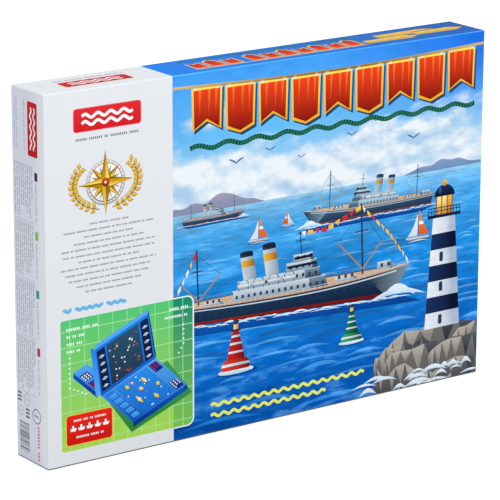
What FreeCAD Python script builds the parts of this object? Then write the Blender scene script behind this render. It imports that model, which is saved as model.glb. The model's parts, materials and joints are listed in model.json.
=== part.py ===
import FreeCAD, Part
import Sketcher
import math
import os
import re

# Boxed fleet guessing game. A telescoping board carton stands on its long side and holds two
# hinged playing cases with their fleets and pegs, a folded channel between them and the rules.
# Frame: +X to the right along the printed front, +Y to the back, +Z up, origin under the middle.

SIZES = (
    ("case_length", 258.0, "playing case along its hinge"),
    ("case_width", 165.0, "playing case across its hinge"),
    ("base_height", 20.0, "lower half up to the hinge plane"),
    ("lid_height", 17.0, "upper half from the hinge plane"),
    ("shell_wall", 2.0, "side walls of both halves"),
    ("base_skin", 1.6, "floor of the lower half"),
    ("lid_skin", 2.0, "roof of the upper half"),
    ("corner_cut", 34.0, "cut across the two free corners"),
    ("edge_break", 1.2, "chamfer round the outer faces"),
    ("parting_gap", 0.2, "gap between the two rims"),
    ("fence", 1.6, "walls between board and trays"),
    ("base_fence_rise", 3.4, "fence above the sea board"),
    ("lid_fence_rise", 0.6, "fence above the target board"),
    ("base_ledge", 3.0, "seat of the sea board above the floor"),
    ("lid_ledge", 5.0, "seat of the target board above the roof"),
    ("ledge_width", 3.0, "width of both seats"),
    ("peg_bay", 52.0, "short bay of the peg tray, along the tray"),
    ("tray_ribs", 4, "low ribs on the floor of the ship tray"),
    ("tray_rib", 1.6, "thickness of a tray rib"),
    ("tray_rib_rise", 2.2, "tray rib above the floor"),
    ("tray_cell", 27.0, "distance between tray ribs"),
    ("notch_width", 34.0, "thumb notch in the free wall"),
    ("notch_depth", 5.0, "thumb notch below the rim"),
    ("grid_cells", 10, "cells along each side of a board"),
    ("cell_pitch", 13.5, "distance between sockets"),
    ("board_margin", 12.25, "outer socket row to the board's end"),
    ("board_plate", 4.0, "thickness of both boards"),
    ("board_play", 0.3, "gap between a board and its walls"),
    ("socket_width", 3.0, "side of a square socket"),
    ("socket_depth", 3.2, "blind depth of a socket"),
    ("chart_plate", 1.0, "thickness of the ship charts"),
    ("chart_play", 0.5, "gap between a chart and its walls"),
    ("hinge_offset", 3.0, "hinge axis outside the wall"),
    ("hinge_station", 82.0, "hinge from the middle of the case"),
    ("barrel_radius", 2.6, "outside of a knuckle"),
    ("base_knuckle", 8.0, "length of a knuckle on the lower half"),
    ("lid_knuckle", 14.0, "length of a knuckle on the upper half"),
    ("knuckle_gap", 0.3, "gap between neighbouring knuckles"),
    ("pin_radius", 1.25, "hinge pin"),
    ("pin_seat", 0.02, "pin in the lower half's knuckles"),
    ("pin_play", 0.06, "pin in the upper half's knuckles"),
    ("peg_head_width", 4.8, "peg head across its flats"),
    ("peg_head", 3.4, "height of a peg head"),
    ("stem_play", 0.06, "gap between each side of a stem and its socket"),
    ("peg_stem", 2.9, "length of a peg stem"),
    ("ship_beam", 8.8, "breadth of every hull"),
    ("ship_transom", 5.0, "breadth of the stern"),
    ("ship_end", 5.4, "outer socket to bow or stern"),
    ("ship_bow", 6.0, "length of the pointed bow"),
    ("ship_stern", 2.4, "length of the drawn-in stern"),
    ("ship_hull", 4.2, "height of the hull"),
    ("ship_socket", 3.2, "depth of the sockets in a hull"),
    ("deckhouse_length", 6.0, "deckhouse between two sockets"),
    ("deckhouse_width", 4.6, "breadth of a deckhouse"),
    ("deckhouse_rise", 2.6, "deckhouse above the hull"),
    ("swing_clear", 4.75, "room beside an upright case lid"),
    ("case_play", 1.5, "case to the end wall of the carton"),
    ("headroom", 4.5, "room above the cases"),
    ("wall_rise", 0.9, "carton base wall past the cases"),
    ("board_stock", 1.5, "wrapped board of the carton"),
    ("lid_play", 0.75, "gap between carton lid and base"),
    ("lid_clear", 0.5, "base wall to the inside of the lid"),
    ("rim_setback", 0.5, "lid rim short of the base's back"),
    ("fold_radius", 1.2, "soft folds of the carton"),
    ("channel_stock", 1.2, "board of the folded channel"),
    ("channel_height", 14.0, "height of the folded channel"),
    ("channel_play", 1.0, "gap between channel and case"),
    ("leaflet_width", 290.0, "folded rules, along the carton"),
    ("leaflet_height", 205.0, "folded rules, up the carton"),
    ("leaflet_thickness", 0.6, "both leaves and the fold"),
    ("leaflet_leaf", 0.25, "one leaf"),
)
ALIASES = {alias for alias, value, meaning in SIZES}

# Lengths that follow from the driving sizes
HINGE_EDGE = "(lid_height + hinge_offset + swing_clear)"
CASE_DEPTH = "(base_height + lid_height)"
INNER_WIDTH = f"(2 * ({HINGE_EDGE} + case_width + case_play))"
INNER_HEIGHT = "(case_length + headroom)"
BASE_WIDTH = f"({INNER_WIDTH} + 2 * board_stock)"
BASE_HEIGHT = f"({INNER_HEIGHT} + 2 * board_stock)"
LID_WIDTH = f"({BASE_WIDTH} + 2 * lid_play + 2 * board_stock)"
LID_HEIGHT = f"({BASE_HEIGHT} + 2 * lid_play + 2 * board_stock)"
BASE_DEPTH = f"(board_stock + leaflet_thickness + {CASE_DEPTH} + wall_rise)"
BOX_DEPTH = f"({BASE_DEPTH} + lid_clear + board_stock)"
CASE_BACK = f"({BOX_DEPTH} / 2 - board_stock - leaflet_thickness)"
CASE_MIDDLE = "(2 * board_stock + case_length / 2)"
BOARD_LENGTH = "((grid_cells - 1) * cell_pitch + 2 * board_margin)"
BAY_HALF = f"({BOARD_LENGTH} / 2 + board_play)"
STATION_LENGTH = "(lid_knuckle + 2 * knuckle_gap + 2 * base_knuckle)"
TRAY_START = f"({BAY_HALF} + fence)"
TRAY_END = "(case_length / 2 - shell_wall)"
STEM_WIDTH = "(socket_width - 2 * stem_play)"

# Fleet of one player: name, cells, column and row of the first cell, whether it runs along the hinge
FLEET = (
    ("carrier", 5, 1, 8, True),
    ("battleship", 4, 8, 5, False),
    ("cruiser_1", 3, 1, 5, True),
    ("cruiser_2", 3, 6, 3, False),
    ("destroyer_1", 2, 1, 2, True),
    ("destroyer_2", 2, 4, 1, False),
    ("patrol_boat_1", 1, 0, 0, True),
    ("patrol_boat_2", 1, 6, 0, True),
    ("patrol_boat_3", 1, 8, 0, True),
    ("patrol_boat_4", 1, 8, 2, True),
)
# Cells, as column and row, where pegs stand during a game
SEA_MISSES = ((4, 5), (3, 3), (6, 7))
SEA_HITS = ((2, 8), (8, 6))
TARGET_MISSES = ((1, 1), (7, 2), (3, 4), (8, 5), (2, 7), (5, 8))
TARGET_HITS = ((5, 3), (5, 4), (7, 7))


def bound(text):
    return re.sub(r"[a-z_]+", lambda word: prefixed(word.group()), text)


def prefixed(word):
    return f"sizes.{word}" if word in ALIASES else word


def write_sizes(doc):
    sheet = doc.addObject("Spreadsheet::Sheet", "sizes")
    for row, (alias, value, meaning) in enumerate(SIZES, start=1):
        sheet.set(f"A{row}", meaning)
        sheet.set(f"B{row}", str(value))
        sheet.setAlias(f"B{row}", alias)
    doc.recompute()


def tie(thing, **formulas):
    for name, text in formulas.items():
        thing.setExpression(name, bound(text))


def place(thing, rotation, x, y, z):
    thing.Placement = FreeCAD.Placement(FreeCAD.Vector(), rotation)
    for axis, text in zip("xyz", (x, y, z)):
        thing.setExpression(f"Placement.Base.{axis}", bound(text))


def turned(x_axis, y_axis, z_axis):
    axes = [FreeCAD.Vector(*axis) for axis in (x_axis, y_axis, z_axis)]
    return FreeCAD.Rotation(*axes, "ZXY")


UPRIGHT = FreeCAD.Rotation()
FLATS_ALONG_ROWS = FreeCAD.Rotation(FreeCAD.Vector(0, 0, 1), 30)
ALONG_HINGE = FreeCAD.Rotation(FreeCAD.Vector(1, 0, 0), -90)
CARTON_TURN = turned((1, 0, 0), (0, 0, 1), (0, -1, 0))


def lower_turn(side):
    return turned((side, 0, 0), (0, 0, side), (0, -1, 0))


def upper_turn(side):
    return turned((side, 0, 0), (0, 0, -side), (0, 1, 0))


# Case frames: x runs from the hinge wall to the free wall, y along the hinge, z from the outer
# face of a half towards the other half. Both cases are alike; one is turned end for end.

def place_lower(thing, side, x="0", y="0", z="0", turn=UPRIGHT):
    spots = (f"{side} * ({HINGE_EDGE} + {x})", f"{CASE_BACK} - ({z})", f"{CASE_MIDDLE} + {side} * ({y})")
    place(thing, lower_turn(side) * turn, *spots)


def place_upper(thing, side, x="0", y="0", z="0"):
    front = f"{CASE_BACK} - {CASE_DEPTH}"
    spots = (f"{side} * ({HINGE_EDGE} + {x})", f"{front} + {z}", f"{CASE_MIDDLE} - {side} * ({y})")
    place(thing, upper_turn(side), *spots)


def cell_x(row):
    return f"(case_width / 2 + ({row} - (grid_cells - 1) / 2) * cell_pitch)"


def cell_y(column):
    return f"(({column} - (grid_cells - 1) / 2) * cell_pitch)"


# Sketches and features

FIRST_ANGLE = 0.5  # of a rough outline, off the axes, before its corners are tied to the sheet


def sketch_on(body, role, offset="0"):
    sketch = body.newObject("Sketcher::SketchObject", "Sketch")
    plane = next(item for item in body.Origin.OriginFeatures if item.Role == role)
    sketch.AttachmentSupport = [(plane, "")]
    sketch.MapMode = "FlatFace"
    sketch.setExpression("AttachmentOffset.Base.z", bound(offset))
    return sketch


def polygon(sketch, corners):
    first = sketch.GeometryCount
    count = len(corners)
    angles = [2 * math.pi * i / count + FIRST_ANGLE for i in range(count)]
    spots = [FreeCAD.Vector(math.cos(angle), math.sin(angle), 0) for angle in angles]
    for i in range(count):
        sketch.addGeometry(Part.LineSegment(spots[i], spots[(i + 1) % count]))
    for i in range(count):
        sketch.addConstraint(Sketcher.Constraint("Coincident", first + i, 2, first + (i + 1) % count, 1))
    for i, corner in enumerate(corners):
        for kind, here, text in zip(("DistanceX", "DistanceY"), spots[i], corner):
            number = sketch.addConstraint(Sketcher.Constraint(kind, -1, 1, first + i, 1, here))
            sketch.setExpression(f"Constraints[{number}]", bound(text))


def rectangle(sketch, x_low, x_high, y_low, y_high):
    polygon(sketch, ((x_low, y_low), (x_high, y_low), (x_high, y_high), (x_low, y_high)))


def square(sketch, x, y, side):
    rectangle(sketch, f"{x} - {side} / 2", f"{x} + {side} / 2", f"{y} - {side} / 2", f"{y} + {side} / 2")


def extrude(body, kind, sketch, length, reverse=False):
    feature = body.newObject(f"PartDesign::{kind}", kind)
    feature.Profile = sketch
    feature.Reversed = reverse
    tie(feature, Length=length)
    sketch.Document.recompute()
    return feature


def repeated(body, feature, sketch, *rows):
    pattern = body.newObject("PartDesign::LinearPattern", "Pattern")
    pattern.Originals = [feature]
    for number, (axis, count, pitch) in zip(("", "2"), rows):
        setattr(pattern, f"Direction{number}", (sketch, [axis]))
        reach = f"({count} - 1) * {pitch}"
        tie(pattern, **{f"Length{number}": reach, f"Occurrences{number}": count})
    body.Tip = pattern
    sketch.Document.recompute()


def outer_face(shape):
    faces = enumerate(shape.Faces, start=1)
    return min(faces, key=lambda item: item[1].CenterOfMass.z)[0]


# Playing case: two moulded halves, two boards with sockets, ship charts and hinge pins

def cut_corner(inset):
    cut = f"(corner_cut + {inset} * (sqrt(2) - 1))"
    by_end = (f"(case_width - {cut})", f"(case_length / 2 - {inset})")
    by_free_wall = (f"(case_width - {inset})", f"(case_length / 2 - {cut})")
    return by_end, by_free_wall


def mirrored(corners):
    return [(x, f"-{y}") for x, y in reversed(corners)]


def case_outline(inset):
    by_end, by_free_wall = cut_corner(inset)
    upper = [by_free_wall, by_end, (inset, by_end[1])]
    return mirrored(upper) + upper


def tray_outline(inset, x_low, y_low):
    by_end, by_free_wall = cut_corner(inset)
    return [(x_low, y_low), (by_free_wall[0], y_low), by_free_wall, by_end, (x_low, by_end[1])]


def shell(doc, label, height, skin, ledge, rise, bays):
    body = doc.addObject("PartDesign::Body", f"{label}_shell")
    rim = f"({height} - parting_gap / 2)"
    fence_top = f"({skin} + {ledge} + board_plate + {rise})"
    free_wall = "(case_width - shell_wall)"

    outline = sketch_on(body, "XY_Plane")
    polygon(outline, case_outline("0"))
    block = extrude(body, "Pad", outline, rim)
    chamfer = body.newObject("PartDesign::Chamfer", "Chamfer")
    chamfer.Base = (block, [f"Face{outer_face(block.Shape)}"])
    tie(chamfer, Size="edge_break")
    doc.recompute()

    inside = sketch_on(body, "XY_Plane", rim)
    polygon(inside, case_outline("shell_wall"))
    extrude(body, "Pocket", inside, f"{rim} - {fence_top}")

    floors = sketch_on(body, "XY_Plane", fence_top)
    rectangle(floors, "shell_wall", free_wall, f"-{BAY_HALF}", BAY_HALF)
    for corners in bays:
        polygon(floors, corners)
    extrude(body, "Pocket", floors, f"{fence_top} - {skin}")

    seat = sketch_on(body, "XY_Plane", skin)
    rectangle(seat, "shell_wall", free_wall, f"-{BAY_HALF}", BAY_HALF)
    hollow = f"({BAY_HALF} - ledge_width)"
    rectangle(seat, "shell_wall + ledge_width", f"{free_wall} - ledge_width", f"-{hollow}", hollow)
    extrude(body, "Pad", seat, ledge)
    return body


def hinged(doc, label, body, height, spans, play):
    pieces = [body]
    for start, length in spans:
        barrel = doc.addObject("Part::Cylinder", "Barrel")
        tie(barrel, Radius="barrel_radius", Height=length)
        place(barrel, ALONG_HINGE, "-hinge_offset", start, height)
        web = doc.addObject("Part::Box", "Web")
        tie(web, Length="hinge_offset + shell_wall / 2", Width=length, Height="barrel_radius - parting_gap")
        place(web, UPRIGHT, "-hinge_offset", start, f"{height} - barrel_radius")
        pieces += [barrel, web]
    joined = doc.addObject("Part::MultiFuse", f"{label}_joined")
    joined.Shapes = pieces
    half = doc.addObject("Part::Cut", label)
    half.Base = joined
    half.Tool = pin_pair(doc, f"{label}_bores", f"pin_radius + {play}", height)
    return half


def pin_pair(doc, label, radius, height):
    pins = []
    for sign in (-1, 1):
        pin = doc.addObject("Part::Cylinder", "Pin")
        tie(pin, Radius=radius, Height=STATION_LENGTH)
        place(pin, ALONG_HINGE, "-hinge_offset", f"{sign} * hinge_station - {STATION_LENGTH} / 2", height)
        pins.append(pin)
    pair = doc.addObject("Part::Compound", label)
    pair.Links = pins
    return pair


def lower_half(doc, label, side):
    partition = "(shell_wall + peg_bay)"
    by_partition = [(partition, TRAY_START), (partition, TRAY_END)]
    short_bay = [("shell_wall", TRAY_START)] + by_partition + [("shell_wall", TRAY_END)]
    long_bay = tray_outline("shell_wall", f"({partition} + fence)", TRAY_START)
    ship_tray = mirrored(tray_outline("shell_wall", "shell_wall", TRAY_START))
    bays = (short_bay, long_bay, ship_tray)
    body = shell(doc, label, "base_height", "base_skin", "base_ledge", "base_fence_rise", bays)

    rib = sketch_on(body, "XY_Plane", "base_skin")
    first_rib = "(shell_wall + tray_cell)"
    rectangle(rib, f"{first_rib} - tray_rib", first_rib, f"-{TRAY_END}", f"-{TRAY_START}")
    repeated(body, extrude(body, "Pad", rib, "tray_rib_rise"), rib, ("H_Axis", "tray_ribs", "tray_cell"))

    notch = sketch_on(body, "XY_Plane", "base_height")
    through_wall = ("case_width - 2 * shell_wall", "case_width + shell_wall")
    rectangle(notch, *through_wall, "-notch_width / 2", "notch_width / 2")
    extrude(body, "Pocket", notch, "notch_depth")

    spans = []
    for sign in (-1, 1):
        spans.append((f"{sign} * hinge_station - {STATION_LENGTH} / 2", "base_knuckle"))
        spans.append((f"{sign} * hinge_station + lid_knuckle / 2 + knuckle_gap", "base_knuckle"))
    half = hinged(doc, label, body, "base_height", spans, "pin_seat")
    place_lower(half, side)
    return half


def upper_half(doc, label, side):
    tray = tray_outline("shell_wall", "shell_wall", TRAY_START)
    body = shell(doc, label, "lid_height", "lid_skin", "lid_ledge", "lid_fence_rise", (tray, mirrored(tray)))
    spans = [(f"{sign} * hinge_station - lid_knuckle / 2", "lid_knuckle") for sign in (-1, 1)]
    half = hinged(doc, label, body, "lid_height", spans, "pin_play")
    place_upper(half, side)
    return half


def hinge_pins(doc, label, side):
    pins = pin_pair(doc, label, "pin_radius", "base_height")
    place_lower(pins, side)
    return pins


def socket_board(doc, label):
    body = doc.addObject("PartDesign::Body", label)
    outline = sketch_on(body, "XY_Plane")
    edge = "(shell_wall + board_play)"
    rectangle(outline, edge, f"case_width - {edge}", f"-{BOARD_LENGTH} / 2", f"{BOARD_LENGTH} / 2")
    extrude(body, "Pad", outline, "board_plate")
    corner = sketch_on(body, "XY_Plane", "board_plate")
    square(corner, cell_x(0), cell_y(0), "socket_width")
    socket = extrude(body, "Pocket", corner, "socket_depth")
    rows = [(axis, "grid_cells", "cell_pitch") for axis in ("H_Axis", "V_Axis")]
    repeated(body, socket, outline, *rows)
    return body


def sea_board(doc, label, side):
    body = socket_board(doc, label)
    place_lower(body, side, z="base_skin + base_ledge")
    return body


def target_board(doc, label, side):
    body = socket_board(doc, label)
    place_upper(body, side, z="lid_skin + lid_ledge")
    return body


def ship_chart(doc, label, side, upper):
    body = doc.addObject("PartDesign::Body", label)
    inset = "(shell_wall + chart_play)"
    corners = tray_outline(inset, inset, f"({TRAY_START} + chart_play)")
    outline = sketch_on(body, "XY_Plane")
    polygon(outline, corners if upper else mirrored(corners))
    extrude(body, "Pad", outline, "chart_plate")
    place_upper(body, side, z="lid_skin")
    return body


# Fleet and pegs

def ship(doc, label, cells):
    body = doc.addObject("PartDesign::Body", label)
    tip = f"({cells - 1} * cell_pitch / 2 + ship_end)"
    upper = [(f"{tip} - ship_bow", "ship_beam / 2"), (f"ship_stern - {tip}", "ship_beam / 2")]
    upper.append((f"-{tip}", "ship_transom / 2"))
    hull = sketch_on(body, "XY_Plane")
    polygon(hull, [(tip, "0")] + upper + mirrored(upper))
    extrude(body, "Pad", hull, "ship_hull")

    spots = [f"({cell} - {cells - 1} / 2) * cell_pitch" for cell in range(cells)]
    stems = sketch_on(body, "XY_Plane")
    for spot in sorted({spots[0], spots[-1]}):
        square(stems, spot, "0", STEM_WIDTH)
    extrude(body, "Pad", stems, "peg_stem", reverse=True)

    if cells > 1:
        houses = sketch_on(body, "XY_Plane", "ship_hull")
        for spot in spots[1:]:
            middle = f"{spot} - cell_pitch / 2"
            ends = (f"{middle} - deckhouse_length / 2", f"{middle} + deckhouse_length / 2")
            rectangle(houses, *ends, "-deckhouse_width / 2", "deckhouse_width / 2")
        extrude(body, "Pad", houses, "deckhouse_rise")

    sockets = sketch_on(body, "XY_Plane", "ship_hull")
    for spot in spots:
        square(sockets, spot, "0", "socket_width")
    extrude(body, "Pocket", sockets, "ship_socket")
    return body


def fleet(doc, name, side):
    ships = []
    for kind, cells, column, row, along in FLEET:
        body = ship(doc, f"{name}_{kind}", cells)
        reach = (cells - 1) / 2
        x = cell_x(row if along else row + reach)
        y = cell_y(column + reach if along else column)
        turn = FreeCAD.Rotation(FreeCAD.Vector(0, 0, 1), 90 if along else 0)
        place_lower(body, side, x, y, "base_skin + base_ledge + board_plate", turn)
        ships.append(body)
    return ships


def pegs(doc, label, cells, face):
    group = []
    corner = f"- {STEM_WIDTH} / 2"
    for column, row in cells:
        head = doc.addObject("Part::Prism", "Head")
        tie(head, Circumradius="peg_head_width / sqrt(3)", Height="peg_head")
        place(head, FLATS_ALONG_ROWS, cell_x(row), cell_y(column), face)
        stem = doc.addObject("Part::Box", "Stem")
        tie(stem, Length=STEM_WIDTH, Width=STEM_WIDTH, Height="peg_stem")
        place(stem, UPRIGHT, cell_x(row) + corner, cell_y(column) + corner, f"{face} - peg_stem")
        peg = doc.addObject("Part::Fuse", "Peg")
        peg.Base = head
        peg.Tool = stem
        group.append(peg)
    together = doc.addObject("Part::Compound", label)
    together.Links = group
    return together


def sea_pegs(doc, label, side, cells, on_ships):
    face = "base_skin + base_ledge + board_plate"
    group = pegs(doc, label, cells, f"{face} + ship_hull" if on_ships else face)
    place_lower(group, side)
    return group


def target_pegs(doc, label, side, cells):
    group = pegs(doc, label, cells, "lid_skin + lid_ledge + board_plate")
    place_upper(group, side)
    return group


# Carton, channel and rules, drawn lying on the carton's back

def open_box(doc, label, width, height, depth, mouth_up):
    body = doc.addObject("PartDesign::Body", label)
    outline = sketch_on(body, "XY_Plane")
    rectangle(outline, f"-{width} / 2", f"{width} / 2", "0", height)
    block = extrude(body, "Pad", outline, depth)
    folds = body.newObject("PartDesign::Fillet", "Folds")
    folds.Base = (block, [f"Face{closed_face(block.Shape, mouth_up)}"])
    tie(folds, Radius="fold_radius")
    doc.recompute()
    inside = sketch_on(body, "XY_Plane", depth if mouth_up else "0")
    wall = f"({width} / 2 - board_stock)"
    rectangle(inside, f"-{wall}", wall, "board_stock", f"{height} - board_stock")
    extrude(body, "Pocket", inside, f"{depth} - board_stock", reverse=not mouth_up)
    return body


def closed_face(shape, mouth_up):
    heights = [face.CenterOfMass.z for face in shape.Faces]
    return heights.index(min(heights) if mouth_up else max(heights)) + 1


def carton_base(doc, label):
    body = open_box(doc, label, BASE_WIDTH, BASE_HEIGHT, BASE_DEPTH, mouth_up=True)
    place(body, CARTON_TURN, "0", f"{BOX_DEPTH} / 2", "board_stock")
    return body


def carton_lid(doc, label):
    body = open_box(doc, label, LID_WIDTH, LID_HEIGHT, f"({BOX_DEPTH} - rim_setback)", mouth_up=False)
    place(body, CARTON_TURN, "0", f"{BOX_DEPTH} / 2 - rim_setback", "0")
    return body


def folded_channel(doc, label):
    body = doc.addObject("PartDesign::Body", label)
    outside = f"({HINGE_EDGE} - channel_play)"
    inside = f"({outside} - channel_stock)"
    roof = "(channel_height - channel_stock)"
    right = [(inside, "0"), (outside, "0"), (outside, "channel_height")]
    left = [(f"-{x}", y) for x, y in reversed(right)]
    profile = sketch_on(body, "XZ_Plane")
    polygon(profile, right + left + [(f"-{inside}", roof), (inside, roof)])
    extrude(body, "Pad", profile, "case_length", reverse=True)
    place(body, CARTON_TURN, "0", CASE_BACK, "2 * board_stock")
    return body


def rules_leaflet(doc, label):
    body = doc.addObject("PartDesign::Body", label)
    spine = "-leaflet_width / 2"
    free = "leaflet_width / 2"
    upper = "(leaflet_thickness - leaflet_leaf)"
    fold = f"{spine} + leaflet_leaf"
    outer = [(spine, "0"), (free, "0"), (free, "leaflet_leaf"), (fold, "leaflet_leaf")]
    inner = [(fold, upper), (free, upper), (free, "leaflet_thickness"), (spine, "leaflet_thickness")]
    profile = sketch_on(body, "XZ_Plane")
    polygon(profile, outer + inner)
    extrude(body, "Pad", profile, "leaflet_height", reverse=True)
    place(body, CARTON_TURN, "0", f"{BOX_DEPTH} / 2 - board_stock", "2 * board_stock")
    return body


def playing_case(doc, name, side):
    pieces = [lower_half(doc, f"{name}_case_base", side), upper_half(doc, f"{name}_case_lid", side)]
    pieces.append(hinge_pins(doc, f"{name}_hinge_pins", side))
    pieces.append(sea_board(doc, f"{name}_sea_board", side))
    pieces.append(target_board(doc, f"{name}_target_board", side))
    pieces.append(ship_chart(doc, f"{name}_chart_1", side, upper=True))
    pieces.append(ship_chart(doc, f"{name}_chart_2", side, upper=False))
    pieces += fleet(doc, name, side)
    pieces.append(sea_pegs(doc, f"{name}_sea_white_pegs", side, SEA_MISSES, on_ships=False))
    pieces.append(sea_pegs(doc, f"{name}_sea_red_pegs", side, SEA_HITS, on_ships=True))
    pieces.append(target_pegs(doc, f"{name}_target_white_pegs", side, TARGET_MISSES))
    pieces.append(target_pegs(doc, f"{name}_target_red_pegs", side, TARGET_HITS))
    return pieces


def check(doc, pieces):
    for item in doc.Objects:
        if "Invalid" in item.State or "Error" in item.State:
            raise RuntimeError(f"{item.Label}: {item.State}")
    for piece in pieces:
        if piece.Shape.isNull() or not piece.Shape.isValid() or piece.Shape.Volume <= 0:
            raise RuntimeError(f"{piece.Label}: bad shape")


def main():
    doc = FreeCAD.newDocument("fleet_game")
    write_sizes(doc)
    pieces = [carton_base(doc, "carton_base"), carton_lid(doc, "carton_lid")]
    pieces += [folded_channel(doc, "folded_channel"), rules_leaflet(doc, "rules_leaflet")]
    pieces += playing_case(doc, "left", -1)
    pieces += playing_case(doc, "right", 1)
    doc.recompute()
    check(doc, pieces)
    os.makedirs("parts", exist_ok=True)
    for piece in pieces:
        piece.Shape.exportStep(f"parts/{piece.Label}.step")
        print(f"{piece.Label}: {len(piece.Shape.Solids)} solids, {piece.Shape.Volume / 1000:.2f} cm3")


main()
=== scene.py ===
import json
import math
import random

import bmesh
import bpy
from mathutils import Matrix, Vector
from mathutils.geometry import convex_hull_2d, delaunay_2d_cdt


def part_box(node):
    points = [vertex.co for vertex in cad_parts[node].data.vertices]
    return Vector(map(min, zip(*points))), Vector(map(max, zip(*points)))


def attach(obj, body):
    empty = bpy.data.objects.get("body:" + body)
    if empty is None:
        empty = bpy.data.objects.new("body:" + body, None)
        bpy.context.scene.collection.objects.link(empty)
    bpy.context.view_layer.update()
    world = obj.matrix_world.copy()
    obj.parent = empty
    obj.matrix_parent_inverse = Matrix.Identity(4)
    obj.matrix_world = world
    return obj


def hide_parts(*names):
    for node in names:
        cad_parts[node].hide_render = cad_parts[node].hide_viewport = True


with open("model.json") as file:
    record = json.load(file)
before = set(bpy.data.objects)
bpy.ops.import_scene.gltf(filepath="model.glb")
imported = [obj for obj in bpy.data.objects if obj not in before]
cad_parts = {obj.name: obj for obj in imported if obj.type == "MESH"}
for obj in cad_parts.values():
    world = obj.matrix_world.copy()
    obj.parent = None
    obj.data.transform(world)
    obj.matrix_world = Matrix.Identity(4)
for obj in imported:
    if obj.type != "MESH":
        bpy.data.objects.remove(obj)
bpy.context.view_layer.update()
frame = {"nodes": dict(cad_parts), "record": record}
nodes = frame["nodes"]
scene = bpy.context.scene
mm = 0.001
touch = 1e-4  # millimetres within which two places are one
plainWhite = (1, 1, 1, 1)
print("frame:", len(nodes), "nodes")


def boxInMm(node):
    return [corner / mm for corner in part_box(node)]


# Inks and flat drawing, in millimetres on a panel

def ink(red, green, blue, finish=1):  # a colour as seen, 0 to 255, in linear light; alpha tells its finish
    shares = [part / 255 for part in (red, green, blue)]
    linear = [part / 12.92 if part < 0.04045 else ((part + 0.055) / 1.055) ** 2.4 for part in shares]
    return (*linear, finish)


def paint(*seen):  # brushed paint of the picture
    return ink(*seen, finish=0)


def water(*seen):  # rippled water
    return ink(*seen, finish=2)


def sky(*seen, cloud):  # sky with a share of cloud over it
    return ink(*seen, finish=-cloud)


def between(first, last, share):
    return tuple(a + (b - a) * share for a, b in zip(first, last))


def evenly(low, high, count):  # both ends and the places between them, in equal steps
    return [low + (high - low) * i / count for i in range(count + 1)]


def lay(art, points, first, last=None, axis=1):  # one shape, in flat or shaded ink, or toned by place
    ends = [point[axis] for point in points]
    art.append({"points": points, "first": first, "last": last or first, "axis": axis,
                "low": min(ends), "span": max(max(ends) - min(ends), 1e-6)})


def drawer(art, spot, axis=1):  # lays shapes that are drawn in a motif's own measures
    def part(points, first, last=None, axis=axis):
        lay(art, [spot(*point) for point in points], first, last, axis)

    return part


def shadeAt(shape, spot):
    if callable(shape["first"]):
        return shape["first"](*spot)
    share = (spot[shape["axis"]] - shape["low"]) / shape["span"]
    return between(shape["first"], shape["last"], min(max(share, 0), 1))


def disc(x, z, radius, rise=None, steps=24, start=0, sweep=math.tau):
    rise = radius if rise is None else rise
    count = steps if sweep == math.tau else steps + 1
    angles = [start + sweep * i / steps for i in range(count)]
    return [(x + radius * math.cos(angle), z + rise * math.sin(angle)) for angle in angles]


def roundedPlate(left, low, right, high, radius):
    middles = ((right - radius, high - radius), (left + radius, high - radius),
               (left + radius, low + radius), (right - radius, low + radius))
    points = []
    for quarter, (x, z) in enumerate(middles):
        points += disc(x, z, radius, steps=5, start=quarter * math.pi / 2, sweep=math.pi / 2)
    return points


def bar(left, low, right, high):
    return [(left, low), (right, low), (right, high), (left, high)]


def ribbon(path, width, taper=0):  # strip along a path, drawn in by taper at both ends
    sides = ([], [])
    last = len(path) - 1
    for i, (x, z) in enumerate(path):
        ahead = Vector(path[min(i + 1, last)]) - Vector(path[max(i - 1, 0)])
        ahead.normalize()
        half = width / 2 * (1 - taper * (2 * i / last - 1) ** 2)
        sides[0].append((x + ahead.y * half, z - ahead.x * half))
        sides[1].append((x - ahead.y * half, z + ahead.x * half))
    return sides[0] + sides[1][::-1]


def wavePath(left, right, z, rise, length, steps=8):
    count = max(int((right - left) / length * steps), 4)
    spots = evenly(left, right, count)
    return [(x, z + rise * math.sin((x - left) / length * math.tau)) for x in spots]


def swell(x, z, width, rise, steps=7):  # crescent of a wave
    shares = evenly(0, 1, steps)
    crest = [(x + width * (share - 0.5), z + rise * math.sin(math.pi * share)) for share in shares]
    trough = [(a, z + (b - z) * 0.4) for a, b in crest[1:-1]]
    return trough + crest[::-1]


def star(x, z, outer, inner, points, turn=0):
    spots = []
    for i in range(2 * points):
        reach = inner if i % 2 else outer
        angle = turn + math.pi / 2 + math.pi * i / points
        spots.append((x + reach * math.cos(angle), z + reach * math.sin(angle)))
    return spots


# Panels: a flat face is cut along every outline, and each bit takes the ink laid on it last

def counterClockwise(points):
    turns = zip(points, points[1:] + points[:1])
    return points if sum(a[0] * b[1] - b[0] * a[1] for a, b in turns) > 0 else points[::-1]


def panelRim(faces):
    panel = set(faces)
    follows = {}
    for face in faces:
        for corner in face.loops:
            if sum(other in panel for other in corner.edge.link_faces) == 1:
                follows[corner.vert] = corner.link_loop_next.vert
    rim = [next(iter(follows))]
    while follows[rim[-1]] is not rim[0]:
        rim.append(follows[rim[-1]])
    return rim


def rimShare(spot, start, end):  # how far along a rim edge a spot lies, or None
    along = end - start
    share = (spot - start).dot(along) / along.length_squared
    return share if 0 < share < 1 and (start + along * share - spot).length < 10 * touch else None


def cutAlong(outlines, precision):  # triangles of a panel; the first outline is its rim
    spots, loops = [], []
    for outline in outlines:
        loops.append(list(range(len(spots), len(spots) + len(outline))))
        spots += [Vector(point) for point in outline]
    flat, _, cells, cameFrom, _, layers = delaunay_2d_cdt(spots, [], loops, 1, precision)
    return flat, list(zip(cells, layers)), cameFrom, loops


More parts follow.
